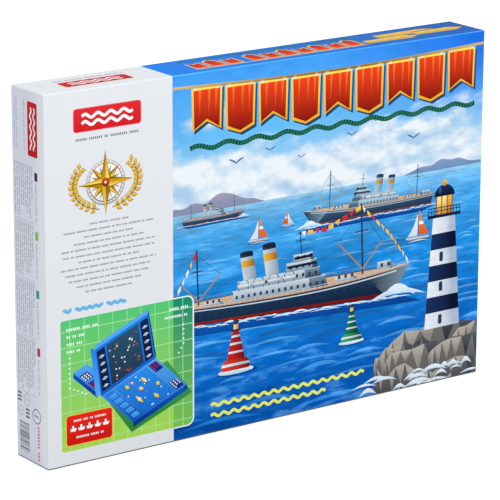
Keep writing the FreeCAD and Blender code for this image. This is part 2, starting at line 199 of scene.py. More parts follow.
def paintPanel(bm, faces, toPanel, toSpace, art, ground, inkLayer):
    rim = panelRim(faces)
    slot = faces[0].material_index
    flatRim = [Vector(toPanel(vert.co)) for vert in rim]
    shapes = [counterClockwise(shape["points"]) for shape in art]
    flat, cells, cameFrom, _ = cutAlong([flatRim, *shapes], touch)
    cells = [(cell, max(over)) for cell, over in cells if 0 in over]
    bmesh.ops.delete(bm, geom=faces, context="FACES")
    verts = {}
    onEdge = {}
    for i in sorted({i for cell, _ in cells for i in cell}):
        known = [source for source in cameFrom[i] if source < len(rim)]
        if known:
            verts[i] = rim[known[0]]
            continue
        for k in range(len(rim)):
            share = rimShare(flat[i], flatRim[k], flatRim[(k + 1) % len(rim)])
            if share is not None:
                onEdge.setdefault(k, []).append((share, i))
                break
        else:
            verts[i] = bm.verts.new(toSpace(flat[i]))
    for k, found in onEdge.items():
        start = rim[k]
        for _, i in sorted(found):
            edge = bm.edges.get((start, rim[(k + 1) % len(rim)]))
            start = bmesh.utils.edge_split(edge, start, 0.5)[1]
            start.co = toSpace(flat[i])
            verts[i] = start
    for cell, over in cells:
        corners = [verts[i] for i in cell]
        if len(set(corners)) < 3 or bm.faces.get(corners):
            continue
        face = bm.faces.new(corners)
        face.material_index = slot
        for corner, i in zip(face.loops, cell):
            corner[inkLayer] = shadeAt(art[over - 1], flat[i]) if over else ground


# Meshes become pieces of the part

def meshObject(bm, name, *materials):
    mesh = bpy.data.meshes.new(name)
    bm.to_mesh(mesh)
    bm.free()
    for material in materials:
        mesh.materials.append(material)
    thing = bpy.data.objects.new(name, mesh)
    scene.collection.objects.link(thing)
    return thing


def asPiece(bm, name, body, materials, node=None):  # drawn in millimetres; stands for the node
    bm.transform(Matrix.Scale(mm, 4))
    piece = meshObject(bm, name, *materials)
    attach(piece, body)
    if node:
        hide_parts(node)
    return piece


def skin(bm, rings, gap=None):  # walls between rings of points, but not after the point at gap
    for first, last in zip(rings, rings[1:]):
        for i in range(len(first)):
            j = (i + 1) % len(first)
            if i != gap:
                bm.faces.new((first[i], first[j], last[j], last[i]))


# Shader parts that several materials share

class Shader:
    def __init__(self, tree):
        self.tree = tree

    def add(self, kind, **values):
        node = self.tree.nodes.new(kind)
        for name, value in values.items():
            setattr(node, name, value)
        return node

    def link(self, source, target):
        self.tree.links.new(source, target)

    def feed(self, value, socket):
        if isinstance(value, bpy.types.NodeSocket):
            self.link(value, socket)
        else:
            socket.default_value = value

    def made(self, kind, given, **values):  # a node with its sockets fed by name
        node = self.add(kind, **values)
        for name, value in given.items():
            self.feed(value, node.inputs[name])
        return node.outputs

    def place(self):
        return self.add("ShaderNodeTexCoord").outputs["Object"]

    def split(self, vector):
        return self.made("ShaderNodeSeparateXYZ", {"Vector": vector})

    def printed(self, layer):
        return self.add("ShaderNodeAttribute", attribute_name=layer).outputs

    def stretched(self, scale, shift=(0, 0, 0)):
        return self.made("ShaderNodeMapping", {"Scale": scale, "Location": shift, "Vector": self.place()})[0]

    def noise(self, scale, detail=4, roughness=0.55, coords=None):
        given = {"Scale": scale, "Detail": detail, "Roughness": roughness, "Vector": coords or self.place()}
        return self.made("ShaderNodeTexNoise", given)["Fac"]

    def math(self, operation, first, second=0, clamp=False):
        return self.made("ShaderNodeMath", {0: first, 1: second}, operation=operation, use_clamp=clamp)[0]

    def plus(self, first, second, clamp=False):
        return self.math("ADD", first, second, clamp)

    def minus(self, first, second, clamp=False):
        return self.math("SUBTRACT", first, second, clamp)

    def times(self, first, second, clamp=False):
        return self.math("MULTIPLY", first, second, clamp)

    def spread(self, value, fromLow, fromHigh, toLow=0, toHigh=1):
        given = {"Value": value, "From Min": fromLow, "From Max": fromHigh, "To Min": toLow, "To Max": toHigh}
        return self.made("ShaderNodeMapRange", given)["Result"]

    def mix(self, share, first, last, blend="MIX"):
        given = {0: share, 6: first, 7: last}
        return self.made("ShaderNodeMix", given, data_type="RGBA", blend_type=blend)[2]

    def toned(self, color, swing):  # a colour made lighter or darker in its own hue
        shade = self.plus(swing, 1)
        tint = self.made("ShaderNodeCombineColor", {0: shade, 1: shade, 2: shade})
        return self.mix(1, color, tint[0], "MULTIPLY")

    def group(self, tree, **values):
        return self.made("ShaderNodeGroup", values, node_tree=tree)

    def bump(self, height, strength, distance):
        given = {"Height": height, "Strength": strength, "Distance": distance}
        return self.made("ShaderNodeBump", given)["Normal"]


def newGroup(name, inputs, outputs):
    tree = bpy.data.node_groups.new(name, "ShaderNodeTree")
    for label, value in inputs.items():
        kind = "NodeSocketColor" if isinstance(value, tuple) else "NodeSocketFloat"
        tree.interface.new_socket(name=label, in_out="INPUT", socket_type=kind).default_value = value
    for label, kind in outputs.items():
        tree.interface.new_socket(name=label, in_out="OUTPUT", socket_type=f"NodeSocket{kind}")
    shader = Shader(tree)
    return tree, shader, shader.add("NodeGroupInput").outputs, shader.add("NodeGroupOutput").inputs


def makeSurfaceGrain():  # fine mottle, and broad unevenness of a board or moulding
    tree, shader, given, out = newGroup(
        "surfaceGrain", {"Color": plainWhite, "Fine": 900, "Broad": 14, "Amount": 0.06},
        {"Color": "Color", "Rough": "Float", "Height": "Float"})
    fine = shader.noise(given["Fine"], 3, 0.6)
    broad = shader.noise(given["Broad"], 2, 0.5)
    spread = shader.times(shader.plus(fine, broad), 0.5)
    swing = shader.times(shader.minus(spread, 0.5), given["Amount"])
    shader.link(shader.toned(given["Color"], swing), out["Color"])
    shader.link(swing, out["Rough"])
    shader.link(shader.plus(shader.times(fine, 0.25), broad), out["Height"])
    return tree


def makeEdgeRubAndHighlight():  # bare stock showing where a fold or edge has been rubbed; on the lid's folds the stock is lightened print, so there it is partly a painted highlight
    tree, shader, given, out = newGroup(
        "edgeRub", {"Color": plainWhite, "Stock": ink(244, 245, 246), "Edge": 0, "Amount": 0.5},
        {"Color": "Color"})
    patches = shader.spread(shader.noise(45, 4, 0.6), 0.3, 0.75)
    scuffs = shader.spread(shader.noise(600, 3, 0.6), 0.45, 0.75)
    rubbed = shader.plus(shader.times(patches, 0.5), shader.times(scuffs, 0.25))
    wear = shader.plus(rubbed, 0.25)
    mask = shader.times(shader.times(wear, given["Edge"]), given["Amount"], True)
    shader.link(shader.mix(mask, given["Color"], given["Stock"]), out["Color"])
    return tree


def makeDust():  # thin film that gathers on faces turned up
    tree, shader, given, out = newGroup(
        "settledDust", {"Color": plainWhite, "Dust": ink(196, 194, 188), "Amount": 0.08},
        {"Color": "Color", "Rough": "Float"})
    upward = shader.split(shader.add("ShaderNodeNewGeometry").outputs["Normal"])["Z"]
    facing = shader.spread(upward, 0.25, 0.95)
    cover = shader.spread(shader.noise(55, 5, 0.7), 0.3, 0.75)
    mask = shader.times(shader.times(facing, cover), given["Amount"])
    shader.link(shader.mix(mask, given["Color"], given["Dust"]), out["Color"])
    shader.link(mask, out["Rough"])
    return tree


def makeCellLines():  # square lines of a playing grid; both cases mirror each other across x = 0
    tree, shader, given, out = newGroup(
        "cellLines", {"Middle X": 0.1, "Middle Z": 0.1, "Pitch": 0.01, "Width": 0.03, "Cells": 10},
        {"Line": "Float", "Inside": "Float"})
    spot = shader.split(shader.place())
    across = shader.minus(shader.math("ABSOLUTE", spot["X"]), given["Middle X"])
    upward = shader.minus(spot["Z"], given["Middle Z"])
    lines = []
    insides = []
    for way in (across, upward):
        cell = shader.math("DIVIDE", way, given["Pitch"])
        toLine = shader.math("ABSOLUTE", shader.minus(cell, shader.math("ROUND", cell)))
        lines.append(shader.math("LESS_THAN", toLine, given["Width"]))
        reach = shader.plus(shader.times(given["Cells"], 0.5), given["Width"])
        insides.append(shader.math("LESS_THAN", shader.math("ABSOLUTE", cell), reach))
    inside = shader.times(*insides)
    shader.link(inside, out["Inside"])
    shader.link(shader.times(shader.math("MAXIMUM", *lines), inside), out["Line"])
    return tree


surfaceGrain = makeSurfaceGrain()
edgeRub = makeEdgeRubAndHighlight()
settledDust = makeDust()
cellLines = makeCellLines()
plainLook = {"specular": 0.5, "coat": 0, "coatRoughness": 0.2}  # what a look leaves out
roughSwing = 1.5  # how far the grain changes a roughness


def newMaterial(name, look):
    look = {**plainLook, **look}
    material = bpy.data.materials.new(name)
    material.use_nodes = True
    surface = material.node_tree.nodes["Principled BSDF"]
    for label, value in (("Roughness", "roughness"), ("Specular IOR Level", "specular"),
                         ("Coat Weight", "coat"), ("Coat Roughness", "coatRoughness")):
        surface.inputs[label].default_value = look[value]
    return material, Shader(material.node_tree), surface


def finished(name, look, color):  # color is an ink, or a function that works one out with the shader
    material, shader, surface = newMaterial(name, look)
    grain = shader.group(surfaceGrain, Color=color(shader) if callable(color) else color,
                         Fine=look["fine"], Broad=look["broad"], Amount=look["mottle"])
    dusty = shader.group(settledDust, Color=grain["Color"], Amount=look["dust"])
    shader.link(dusty["Color"], surface.inputs["Base Color"])
    rough = shader.plus(shader.times(grain["Rough"], roughSwing), look["roughness"])
    shader.link(shader.plus(rough, dusty["Rough"], True), surface.inputs["Roughness"])
    shader.link(shader.bump(grain["Height"], look["bump"], look["bumpDepth"]), surface.inputs["Normal"])
    return material


# Printed wrap of the carton lid

wrapLook = {
    "roughness": 0.5, "specular": 0.03, "fine": 1400, "broad": 9, "mottle": 0.03, "dust": 0.02,
    # the lightened fold ink below stands partly for rubbed paper, partly for a painted highlight along each
    # fold
    "bump": 0.1, "bumpDepth": 0.0005, "rub": 1.35, "worn": ink(97, 179, 243), "brush": 0.5,
    "crest": ink(120, 200, 244), "cloudLight": ink(238, 245, 250), "cloudShade": ink(172, 206, 234),
    "cloudTop": (0.004, 0, 0.012),  # shift that tells the lit side of a cloud from its foot
}
wrapNoise = {  # scale, detail and roughness, and the stretch along each axis
    "cloud": (19, 7, 0.52, (1, 1, 1.7)),
    "swells": (15, 5, 0.55, (1, 1, 4.2)),
    "chop": (58, 6, 0.62, (1, 1, 3.4)),
    "strokes": (70, 6, 0.6, (1, 1, 2.2)),
}


def wrapPattern(shader, name, shift=(0, 0, 0)):
    *values, scale = wrapNoise[name]
    return shader.noise(*values, shader.stretched(scale, shift))


def clouded(shader, color, share):  # soft banks of cloud, lit from above
    body = wrapPattern(shader, "cloud")
    above = wrapPattern(shader, "cloud", wrapLook["cloudTop"])
    cover = shader.spread(shader.plus(body, shader.times(share, 0.4)), 0.7, 0.86)
    mask = shader.times(cover, shader.times(share, 8, True))
    lit = shader.spread(shader.minus(body, above), -0.09, 0.07)
    return shader.mix(mask, color, shader.mix(lit, wrapLook["cloudShade"], wrapLook["cloudLight"]))


def rippled(shader, color, share):  # long low swells with chop on them
    swells = shader.times(wrapPattern(shader, "swells"), 1.5)
    mixed = shader.plus(swells, wrapPattern(shader, "chop"))
    swing = shader.times(shader.minus(mixed, 1.25), share)
    crests = shader.times(shader.spread(mixed, 1.34, 1.62, 0, 0.42), share)
    return shader.mix(crests, shader.toned(color, swing), wrapLook["crest"])


def brushed(shader, color, share):  # paint that wanders a little in tone
    strokes = shader.minus(wrapPattern(shader, "strokes"), 0.5)
    return shader.toned(color, shader.times(shader.times(strokes, share), wrapLook["brush"]))


def wrapColor(shader):
    printed = shader.printed("ink")
    finish = printed["Alpha"]
    bare = shader.minus(1, shader.math("ABSOLUTE", finish), True)
    color = brushed(shader, printed["Color"], bare)
    color = rippled(shader, color, shader.minus(finish, 1, True))
    color = clouded(shader, color, shader.times(finish, -1, True))
    # folds are lightened towards this ink: partly rubbed print, partly a painted highlight
    worn = shader.mix(1, color, wrapLook["worn"], "SCREEN")
    fold = shader.printed("fold")["Fac"]
    return shader.group(edgeRub, Color=color, Stock=worn, Edge=fold, Amount=wrapLook["rub"])["Color"]


boardLook = {
    "roughness": 0.78, "specular": 0.3, "fine": 620, "broad": 26, "mottle": 0.16, "dust": 0.04, "bump": 0.3,
    "bumpDepth": 0.0004, "color": ink(226, 224, 217), "fleck": ink(166, 160, 148), "core": ink(142, 136, 126),
    "fibres": (1500, 4, 0.6), "fibreStretch": (1, 1, 0.18), "edgeWidth": 1.6 * mm, "rub": 1,
}


def boardEdge(shader):  # 1 on the outer edges of the carton base, fading over the edge width
    low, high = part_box("carton_base")
    spot = shader.split(shader.place())
    fromMiddle = shader.math("ABSOLUTE", shader.minus(spot["Z"], (high.z + low.z) / 2))
    inward = [shader.minus(high.x, shader.math("ABSOLUTE", spot["X"])),
              shader.minus(high.y, spot["Y"]),
              shader.minus((high.z - low.z) / 2, fromMiddle)]
    pairs = [shader.math("MAXIMUM", inward[a], inward[b]) for a, b in ((0, 1), (0, 2), (1, 2))]
    nearest = shader.math("MINIMUM", pairs[0], shader.math("MINIMUM", pairs[1], pairs[2]))
    return shader.spread(nearest, boardLook["edgeWidth"], 0)


def boardColor(shader):  # lined grey board, with pale fibres and flecks
    fibres = shader.noise(*boardLook["fibres"], shader.stretched(boardLook["fibreStretch"]))
    lined = shader.mix(shader.spread(fibres, 0.6, 0.78, 0, 0.7), boardLook["color"], boardLook["fleck"])
    edge = boardEdge(shader)
    rubbed = shader.group(edgeRub, Color=lined, Stock=boardLook["core"], Edge=edge, Amount=boardLook["rub"])
    return rubbed["Color"]


# Picture on the front panel

lidLow, lidHigh = boxInMm("carton_lid")
past = 4  # how far a ground runs past the rim of its panel
under = 8  # how far the picture runs on under the white band
bandEdge = lidLow.x + 106.2  # where the white side band ends and the picture begins
white, paper, paperSide = ink(246, 249, 251), ink(231, 234, 238), ink(228, 233, 246)
foam = (paint(176, 214, 240), paint(240, 246, 250))
reds = (ink(128, 16, 12), ink(240, 66, 24))
layout = {
    "horizon": 168,
    "picture": ((0, water(0, 84, 172)), (48, water(0, 104, 198)), (110, water(22, 138, 220)),
                (150, water(66, 164, 230)), (168, water(134, 198, 236)), (168.5, sky(204, 228, 242, cloud=1)),
                (196, sky(150, 206, 242, cloud=0.9)), (222, sky(104, 188, 245, cloud=0.45)),
                (270, sky(61, 157, 245, cloud=0.05))),
    "deepSky": sky(0, 92, 226, cloud=0.1), "deepShare": 0.8,  # the sky darkens towards the right-hand corner,
    "deepFrom": 40, "deepLow": 196, "deepRise": 60,  # from this far right and this far up
    "columns": (92, 144), "level": 248,  # where its ground is cut once more, so that the tones run evenly
    # the last two inks on the next line are painted light and shade: light on the narrow side near the front
    # fold, shade along the lowest fold
    "paperLow": ink(225, 228, 233), "paperFold": ink(244, 249, 253), "soiled": ink(104, 106, 112),
    "greyText": ink(112, 117, 124),
    "yellow": ink(255, 208, 56), "paleYellow": ink(236, 240, 104), "navy": ink(10, 26, 54),
    "iron": paint(24, 36, 56), "rope": ink(4, 78, 60), "ropeShine": ink(70, 150, 120),
}


def pictureInk(x, z):
    stops = layout["picture"]
    low, high = next(pair for pair in zip(stops, stops[1:]) if z <= pair[1][0] or pair[1] is stops[-1])
    tone = between(low[1], high[1], (z - low[0]) / (high[0] - low[0]))
    fromLeft = min(max((x - layout["deepFrom"]) / (lidHigh.x - layout["deepFrom"]), 0), 1)
    fromSea = min(max((z - layout["deepLow"]) / layout["deepRise"], 0), 1)
    return between(tone, layout["deepSky"], layout["deepShare"] * fromLeft * fromSea)


def background(art):
    levels = sorted([level for level, _ in layout["picture"]] + [layout["level"]])
    columns = (bandEdge - under, layout["deepFrom"], *layout["columns"], lidHigh.x + past)
    for low, high in zip(levels, levels[1:]):
        for left, right in zip(columns, columns[1:]):
            lay(art, bar(left, low, right, high), pictureInk)


def hills(art, left, right, height, seed, tones):
    draw = random.Random(seed)
    phases = [draw.uniform(0, math.tau) for _ in range(4)]
    foot = layout["horizon"]
    spots = []
    for share in evenly(0, 1, 40):
        rough = sum(math.sin((2 + 3 * k) * share * math.pi + phase) / (k + 1.5)
                    for k, phase in enumerate(phases))
        rise = height * math.sin(math.pi * share) * (0.6 + 0.25 * rough)
        spots.append((left + (right - left) * share, foot + rise))
    lay(art, spots[::-1] + [(left, foot - 2), (right, foot - 2)], *tones)


seaLook = {  # far and near tones; waves grow from the first size to the first and second together
    "seed": 21, "rows": 34, "foot": 3, "width": (9, 50), "rise": (0.5, 4.8),
    "mid": (water(70, 164, 230), water(8, 110, 204)), "bright": (water(146, 204, 240), water(44, 146, 226)),
    "deep": (water(48, 146, 216), water(0, 72, 158)),
}


def openSea(art):
    draw = random.Random(seaLook["seed"])
    foot = seaLook["foot"]
    for row in range(seaLook["rows"]):
        nearness = (row / (seaLook["rows"] - 1)) ** 1.5
        z = (layout["horizon"] - foot) * (1 - nearness) + foot * nearness
        mid, bright, deep = (between(*seaLook[name], nearness) for name in ("mid", "bright", "deep"))
        wide, tall = (seaLook[name][0] + seaLook[name][1] * nearness for name in ("width", "rise"))
        x = bandEdge - 6 + draw.uniform(0, 20)
        while x < lidHigh.x:
            width = wide * draw.uniform(0.6, 1.6)
            rise = tall * draw.uniform(0.6, 1.3)
            tones = draw.choice(((mid, bright), (deep, mid), (deep, mid), (mid, bright), (deep, deep)))
            lay(art, swell(x, z + draw.uniform(-1, 1) * rise, width, rise), *tones)
            x += width * draw.uniform(0.5, 1.1)


nearShip = {
    "light": paint(206, 218, 226), "mid": paint(124, 148, 166), "dark": paint(38, 58, 82),
    "hull": paint(4, 16, 40), "hullHigh": paint(30, 62, 96), "deck": paint(196, 152, 116),
    "deckHigh": paint(232, 196, 160), "band": (paint(150, 84, 8), paint(240, 190, 60)),
    "mast": paint(176, 132, 72), "boot": (paint(88, 14, 14), paint(150, 34, 26)),
}
farShip = {
    "light": paint(188, 208, 220), "mid": paint(120, 150, 172), "dark": paint(54, 84, 112),
    "hull": paint(14, 40, 70), "hullHigh": paint(58, 96, 128), "deck": paint(190, 160, 134),
    "deckHigh": paint(214, 188, 164), "band": (paint(150, 104, 50), paint(214, 176, 96)),
    "mast": paint(160, 136, 100), "boot": (paint(96, 50, 56), paint(130, 70, 70)),
}
shipPlan = {  # in shares of the length, from the stern at -0.5 to the bow at 0.5
    "ends": (-0.5, 0.53), "steps": 20,
    "shade": ((-0.53, -0.01), (0.5, -0.012), (0.58, -0.036), (-0.4, -0.046)),
    "shadeTones": (paint(0, 62, 142), paint(4, 88, 176)),
    "keel": ((-0.478, -0.006), (0.44, -0.008), (0.478, 0.012)), "flare": (0.36, 0.53),
    "boot": ((-0.48, -0.004), (0.442, -0.006), (0.462, 0.006), (-0.483, 0.006)),
    "planks": 12, "farPosts": (40, 0.0245, 0.011), "nearPosts": (44, 0.0225, 0.013),  # count, pitch, height
    "portholes": 24, "rakeOfHouses": 0.012, "rakeOfFunnels": 0.018, "doors": 0.026,
    "onDeck": (("house", -0.47, -0.38, 0.07, 0.1), ("house", -0.33, -0.235, 0.066, 0.078),
               ("derricks", -0.35, 0.07, 0.29, ((0.1, 0.11), (-0.085, 0.1))),
               ("house", 0.4, 0.465, 0.084, 0.108), ("house", 0.23, 0.325, 0.07, 0.083),
               ("derricks", 0.345, 0.078, 0.31, ((-0.1, 0.12), (0.075, 0.1))),
               ("house", -0.2, 0.205, 0.064, 0.102),
               ("funnel", -0.148, -0.092, 0.128, 0.236), ("funnel", -0.052, 0.004, 0.128, 0.248),
               ("house", -0.178, 0.178, 0.102, 0.134), ("house", 0.03, 0.166, 0.134, 0.164),
               ("house", 0.06, 0.15, 0.164, 0.188)),
    "windows": ((0.036, 0.158, 0.146), (0.066, 0.143, 0.173)),
    "mast": (((0.096, 0.188), (0.09, 0.268), 0.004), ((0.072, 0.236), (0.11, 0.238), 0.003)),
    "boats": (-0.15, -0.085, -0.02, 0.045),
    "flagLines": (((0.525, 0.1), (0.45, 0.2), (0.337, 0.308)), ((0.337, 0.308), (0.2, 0.262), (0.09, 0.266)),
                  ((-0.358, 0.288), (-0.43, 0.17), (-0.49, 0.08))),
    "flagSeeds": (13, 15, 14), "flag": 0.02,
    "bowWave": ((0.11, 0.03), (0.07, 0.044)),
}


def railHeight(a):  # rises to both ends
    return 0.054 + 0.13 * max(a, 0) ** 2.2 + 0.06 * max(-a, 0) ** 2.2


def deckShown(a):  # how much of the deck shows above the near rail
    return 0.038 * (1 - min(abs(a + 0.02) / 0.55, 1) ** 2.6)


class Steamer:
    def __init__(self, art, x, z, length, heading, tones, nearer=0, dip=0):
        def spot(a, b):  # nearer swells the bow and dip lowers it, as the closer end looks
            return (x + heading * length * (a + nearer * a * a / 2),
                    z + length * (b * (1 + nearer * a) - dip * a))

        self.art, self.length, self.tones, self.spot = art, length, tones, spot
        self.part = drawer(art, spot)
        self.along = evenly(*shipPlan["ends"], shipPlan["steps"])
        self.nearEdge = [(a, railHeight(a)) for a in self.along]
        self.farEdge = [(a, railHeight(a) + deckShown(a)) for a in self.along[:-1]]

    def line(self, path, width, tone):
        self.part(ribbon(path, width), self.tones[tone])

    def shaded(self, points, low, high, axis=1):
        self.part(points, self.tones[low], self.tones[high], axis)

    def raised(self, edge, rise):
        return [(a, b + rise) for a, b in edge]

    def posts(self, count, pitch, tall, tone, far):
        for at in (-0.48 + i * pitch for i in range(count)):
            foot = railHeight(at) + (deckShown(at) if far else 0)
            self.line([(at, foot), (at, foot + tall)], 0.0014, tone)

    def hull(self):
        build = shipPlan
        self.part(build["shade"], *build["shadeTones"])
        self.shaded(self.nearEdge[::-1] + list(build["keel"]), "hull", "hullHigh")
        back, front = ((a, railHeight(a)) for a in build["flare"])
        self.shaded([back, (0.44, -0.006), build["keel"][-1], front], "hull", "mid", 0)
        self.part(build["boot"], *self.tones["boot"])
        self.shaded(self.nearEdge + self.farEdge[::-1], "deck", "deckHigh")
        self.line(self.farEdge, 0.003, "dark")
        self.line(self.raised(self.nearEdge[:-1], -0.008), 0.004, "light")

    def planks(self):  # seams of the deck, and the rail behind it
        for share in evenly(0, 1, shipPlan["planks"] + 1)[1:-1]:
            self.line([(a, railHeight(a) + deckShown(a) * share) for a in self.along[2:-2]], 0.0008, "deck")
        self.posts(*shipPlan["farPosts"], "mid", True)
        self.line(self.raised(self.farEdge, shipPlan["farPosts"][2]), 0.0014, "mid")

    def house(self, low, high, foot, top):
        rake, pitch = shipPlan["rakeOfHouses"], shipPlan["doors"]
        edge = high - (high - low) * 0.18
        self.shaded([(low, foot), (high, foot), (high - rake, top), (low + rake / 2, top)], "mid", "light")
        self.shaded([(edge, foot), (high, foot), (high - rake, top), (edge - rake / 2, top)], "dark", "mid")
        self.line([(low + rake / 2 - 0.004, top), (high - rake + 0.004, top)], 0.004, "light")
        for at in (low + 0.016 + pitch * i for i in range(int((high - low) / pitch))):
            self.part(bar(at, foot + 0.008, at + 0.01, foot + 0.02), self.tones["dark"])

    def funnel(self, low, high, foot, top):
        lean = shipPlan["rakeOfFunnels"]
        plain = (self.tones["mid"], self.tones["light"])
        shades = (plain, self.tones["band"], plain, (self.tones["hull"], self.tones["dark"]))
        levels = [foot + (top - foot) * share for share in (0, 0.52, 0.74, 0.86, 1)]
        for a, b, (first, last) in zip(levels, levels[1:], shades):
            slips = [lean * (level - foot) / (top - foot) for level in (a, b)]
            ends = [(low - slips[0], a), (high - slips[0], a), (high - slips[1], b), (low - slips[1], b)]
            self.part(ends, last, first, 0)
        self.shaded(disc((low + high) / 2 - lean, top, (high - low) / 2, 0.007, 14), "hull", "dark")

    def derricks(self, at, foot, top, booms):  # cargo mast and its booms
        yard = foot + 0.62 * (top - foot)
        self.line([(at, foot), (at - 0.008, top)], 0.007, "dark")
        self.line([(at - 0.03, yard), (at + 0.02, yard)], 0.004, "dark")
        for reach, rise in booms:
            self.line([(at, foot + 0.02), (at + reach, foot + rise)], 0.005, "mast")
            self.line([(at - 0.006, top - 0.02), (at + reach, foot + rise)], 0.0016, "dark")

    def bridge(self):
        for low, high, foot in shipPlan["windows"]:
            pane = [(low, foot), (high, foot), (high - 0.002, foot + 0.009), (low, foot + 0.009)]
            self.part(pane, layout["navy"])
        for start, end, width in shipPlan["mast"]:
            self.line([start, end], width, "dark")

    def boats(self):  # in their davits
        for at in shipPlan["boats"]:
            for side in (-0.02, 0.02):
                self.line([(at + side, 0.1), (at + side, 0.13), (at + side * 0.6, 0.136)], 0.003, "dark")
            boat = [(at - 0.028, 0.121), (at - 0.018, 0.108), (at + 0.018, 0.108), (at + 0.03, 0.121)]
            self.part(boat, self.tones["mid"], foam[1])

    def rails(self):  # portholes, the near rail and the lines of flags
        for i in range(shipPlan["portholes"]):
            self.part(disc(-0.43 + i * 0.036, 0.03 + 0.0004 * i, 0.0034, steps=8), ink(2, 8, 22))
        self.posts(*shipPlan["nearPosts"], "light", False)
        for share in (0.5, 1):
            self.line(self.raised(self.nearEdge, share * shipPlan["nearPosts"][2]), 0.0014, "light")
        for rope, seed in zip(shipPlan["flagLines"], shipPlan["flagSeeds"]):
            signalFlags(self.art, [self.spot(*at) for at in rope], shipPlan["flag"] * self.length, seed)

    def wash(self):
        draw = random.Random(int(self.length))
        for at in evenly(-0.56, 0.5, 39):
            rise = draw.uniform(0.004, 0.012)
            z = -0.014 + draw.uniform(-0.006, 0.004)
            self.part(swell(at, z, draw.uniform(0.04, 0.09), rise, 5), *foam)
        for reach, rise in shipPlan["bowWave"]:
            self.part(swell(0.485, -0.014, 2 * reach, rise), *foam)


def steamer(art, close, *place):
    ship = Steamer(art, *place)
    ship.hull()
    if close:
        ship.planks()
    makers = {"house": ship.house, "funnel": ship.funnel, "derricks": ship.derricks}
    for kind, *sizes in shipPlan["onDeck"]:
        makers[kind](*sizes)
    ship.bridge()
    ship.boats()
    if close:
        ship.rails()
    ship.wash()


flagTones = ((paint(196, 24, 24), paint(232, 52, 36)), (paint(236, 168, 24), paint(255, 214, 80)),
             (paint(206, 216, 226), paint(248, 250, 252)), (paint(8, 52, 140), paint(30, 92, 190)))


def signalFlags(art, spots, size, seed):  # small flags hung along a line, square and pointed by turns
    draw = random.Random(seed)
    lay(art, ribbon(spots, 0.1 * size), layout["iron"])
    drop = Vector((0.12 * size, -size))
    for start, end in zip(spots, spots[1:]):
        run = Vector(end) - Vector(start)
        count = int(run.length / (1.35 * size))
        for i in range(count):
            a, b = (Vector(start) + run * ((i + share) / count) for share in (0.12, 0.84))
            flag = [a, b, (a + b) / 2 + drop] if i % 2 else [a, b, b + drop * 0.8, a + drop * 0.8]
            lay(art, [tuple(spot) for spot in flag], *draw.choice(flagTones))


def taperedBand(half, rise, tall, draw):  # a band across something that narrows upwards
    return [(-half, rise), (half, rise), (half - draw, rise + tall), (-half + draw, rise + tall)]


def buoy(art, x, z, height, tones):  # channel buoy: float, cage and lantern
    part = drawer(art, lambda a, b: (x + height * a, z + height * b), 0)
    shade, bright, body = tones
    pale = (white, paint(150, 168, 190))
    part(disc(0.03, -0.02, 0.46, 0.075, 20), water(0, 66, 146), water(0, 84, 168), 1)
    part(disc(0, 0, 0.4, 0.06, 20), *foam, 1)
    part([(-0.3, 0.02), (0.3, 0.02), (0.33, 0.12), (0.24, 0.22), (-0.24, 0.22), (-0.33, 0.12)], bright, shade)
    part(taperedBand(0.325, 0.1, 0.05, 0.025), *pale)
    part(taperedBand(0.2, 0.22, 0.54, 0.13), body, shade)
    for rise, half in ((0.34, 0.17), (0.5, 0.135), (0.64, 0.1)):
        part(taperedBand(half, rise, 0.04, 0.008), *pale)
    part(taperedBand(0.11, 0.76, 0.03, 0), layout["iron"])
    part(taperedBand(0.055, 0.79, 0.13, 0.01), paint(255, 226, 130), paint(224, 140, 30))
    part(disc(0, 0.93, 0.07, 0.05, 12), paint(60, 78, 104), paint(20, 30, 50))
    for at, wide in ((-0.2, 0.3), (0.12, 0.36), (0.28, 0.2)):
        part(swell(at, -0.045, wide, 0.06), *foam, 1)


def sailBoat(art, x, z, height, way):
    part = drawer(art, lambda a, b: (x + way * height * a, z + height * b))
    part(disc(0.02, -0.02, 0.52, 0.05, 18), water(10, 96, 184), water(20, 120, 206))
    part([(-0.4, 0), (0.36, 0), (0.5, 0.12), (-0.44, 0.1)], paint(20, 34, 60), paint(240, 244, 248))
    part(ribbon([(0, 0.1), (-0.01, 1.02)], 0.022), paint(96, 66, 40))
    part([(-0.03, 0.16), (-0.03, 0.98), (-0.2, 0.56), (-0.42, 0.18)], paint(226, 84, 20), paint(250, 150, 44))
    part([(-0.03, 0.5), (-0.03, 0.62), (-0.186, 0.59), (-0.225, 0.5)], white)
    part([(0.03, 0.14), (0.01, 0.86), (0.2, 0.42), (0.42, 0.15)], paint(206, 220, 234), white)
    part(swell(0, -0.04, 0.9, 0.05), *foam)


rockLook = {
    "body": (paint(44, 50, 62), paint(120, 116, 112)), "lit": (paint(118, 114, 108), paint(184, 178, 166)),
    "dark": (paint(30, 36, 50), paint(84, 86, 90)), "steps": 11, "rows": 3, "sill": 0.3,
    "mounds": ((0.04, 0.24, 0.5), (-0.26, 0.13, 0.26), (0.3, 0.16, 0.26), (-0.08, 0.1, 0.36),
               (0.2, 0.08, 0.3)),
}


def rocks(art, x, foot, height):
    draw = random.Random(8)
    for shift, rise, reach in rockLook["mounds"]:
        crest = []
        for angle in evenly(0, math.pi, rockLook["steps"]):
            lift = rise * math.sin(angle) ** 0.7 * draw.uniform(0.7, 1.12)
            crest.append((x + (shift + reach * math.cos(angle)) * height, foot + lift * height))
        sill = foot - rockLook["sill"] * height
        lay(art, crest + [(crest[-1][0], sill), (crest[0][0], sill)], *rockLook["body"])
        for row in range(rockLook["rows"]):  # facets under each step of the crest, and under those again
            lower = []
            for (ax, az), (bx, bz) in zip(crest, crest[1:]):
                drop = draw.uniform(0.06, 0.16) * height
                lower.append(((ax + bx) / 2 + draw.uniform(-1, 1) * 2, min(az, bz) - drop))
                side = "lit" if bx + ax < 2 * x + 2 * shift * height else "dark"
                if draw.random() < 1 - 0.3 * row:
                    lay(art, [(ax, az), (bx, bz), lower[-1]], *rockLook[side])
            crest = lower


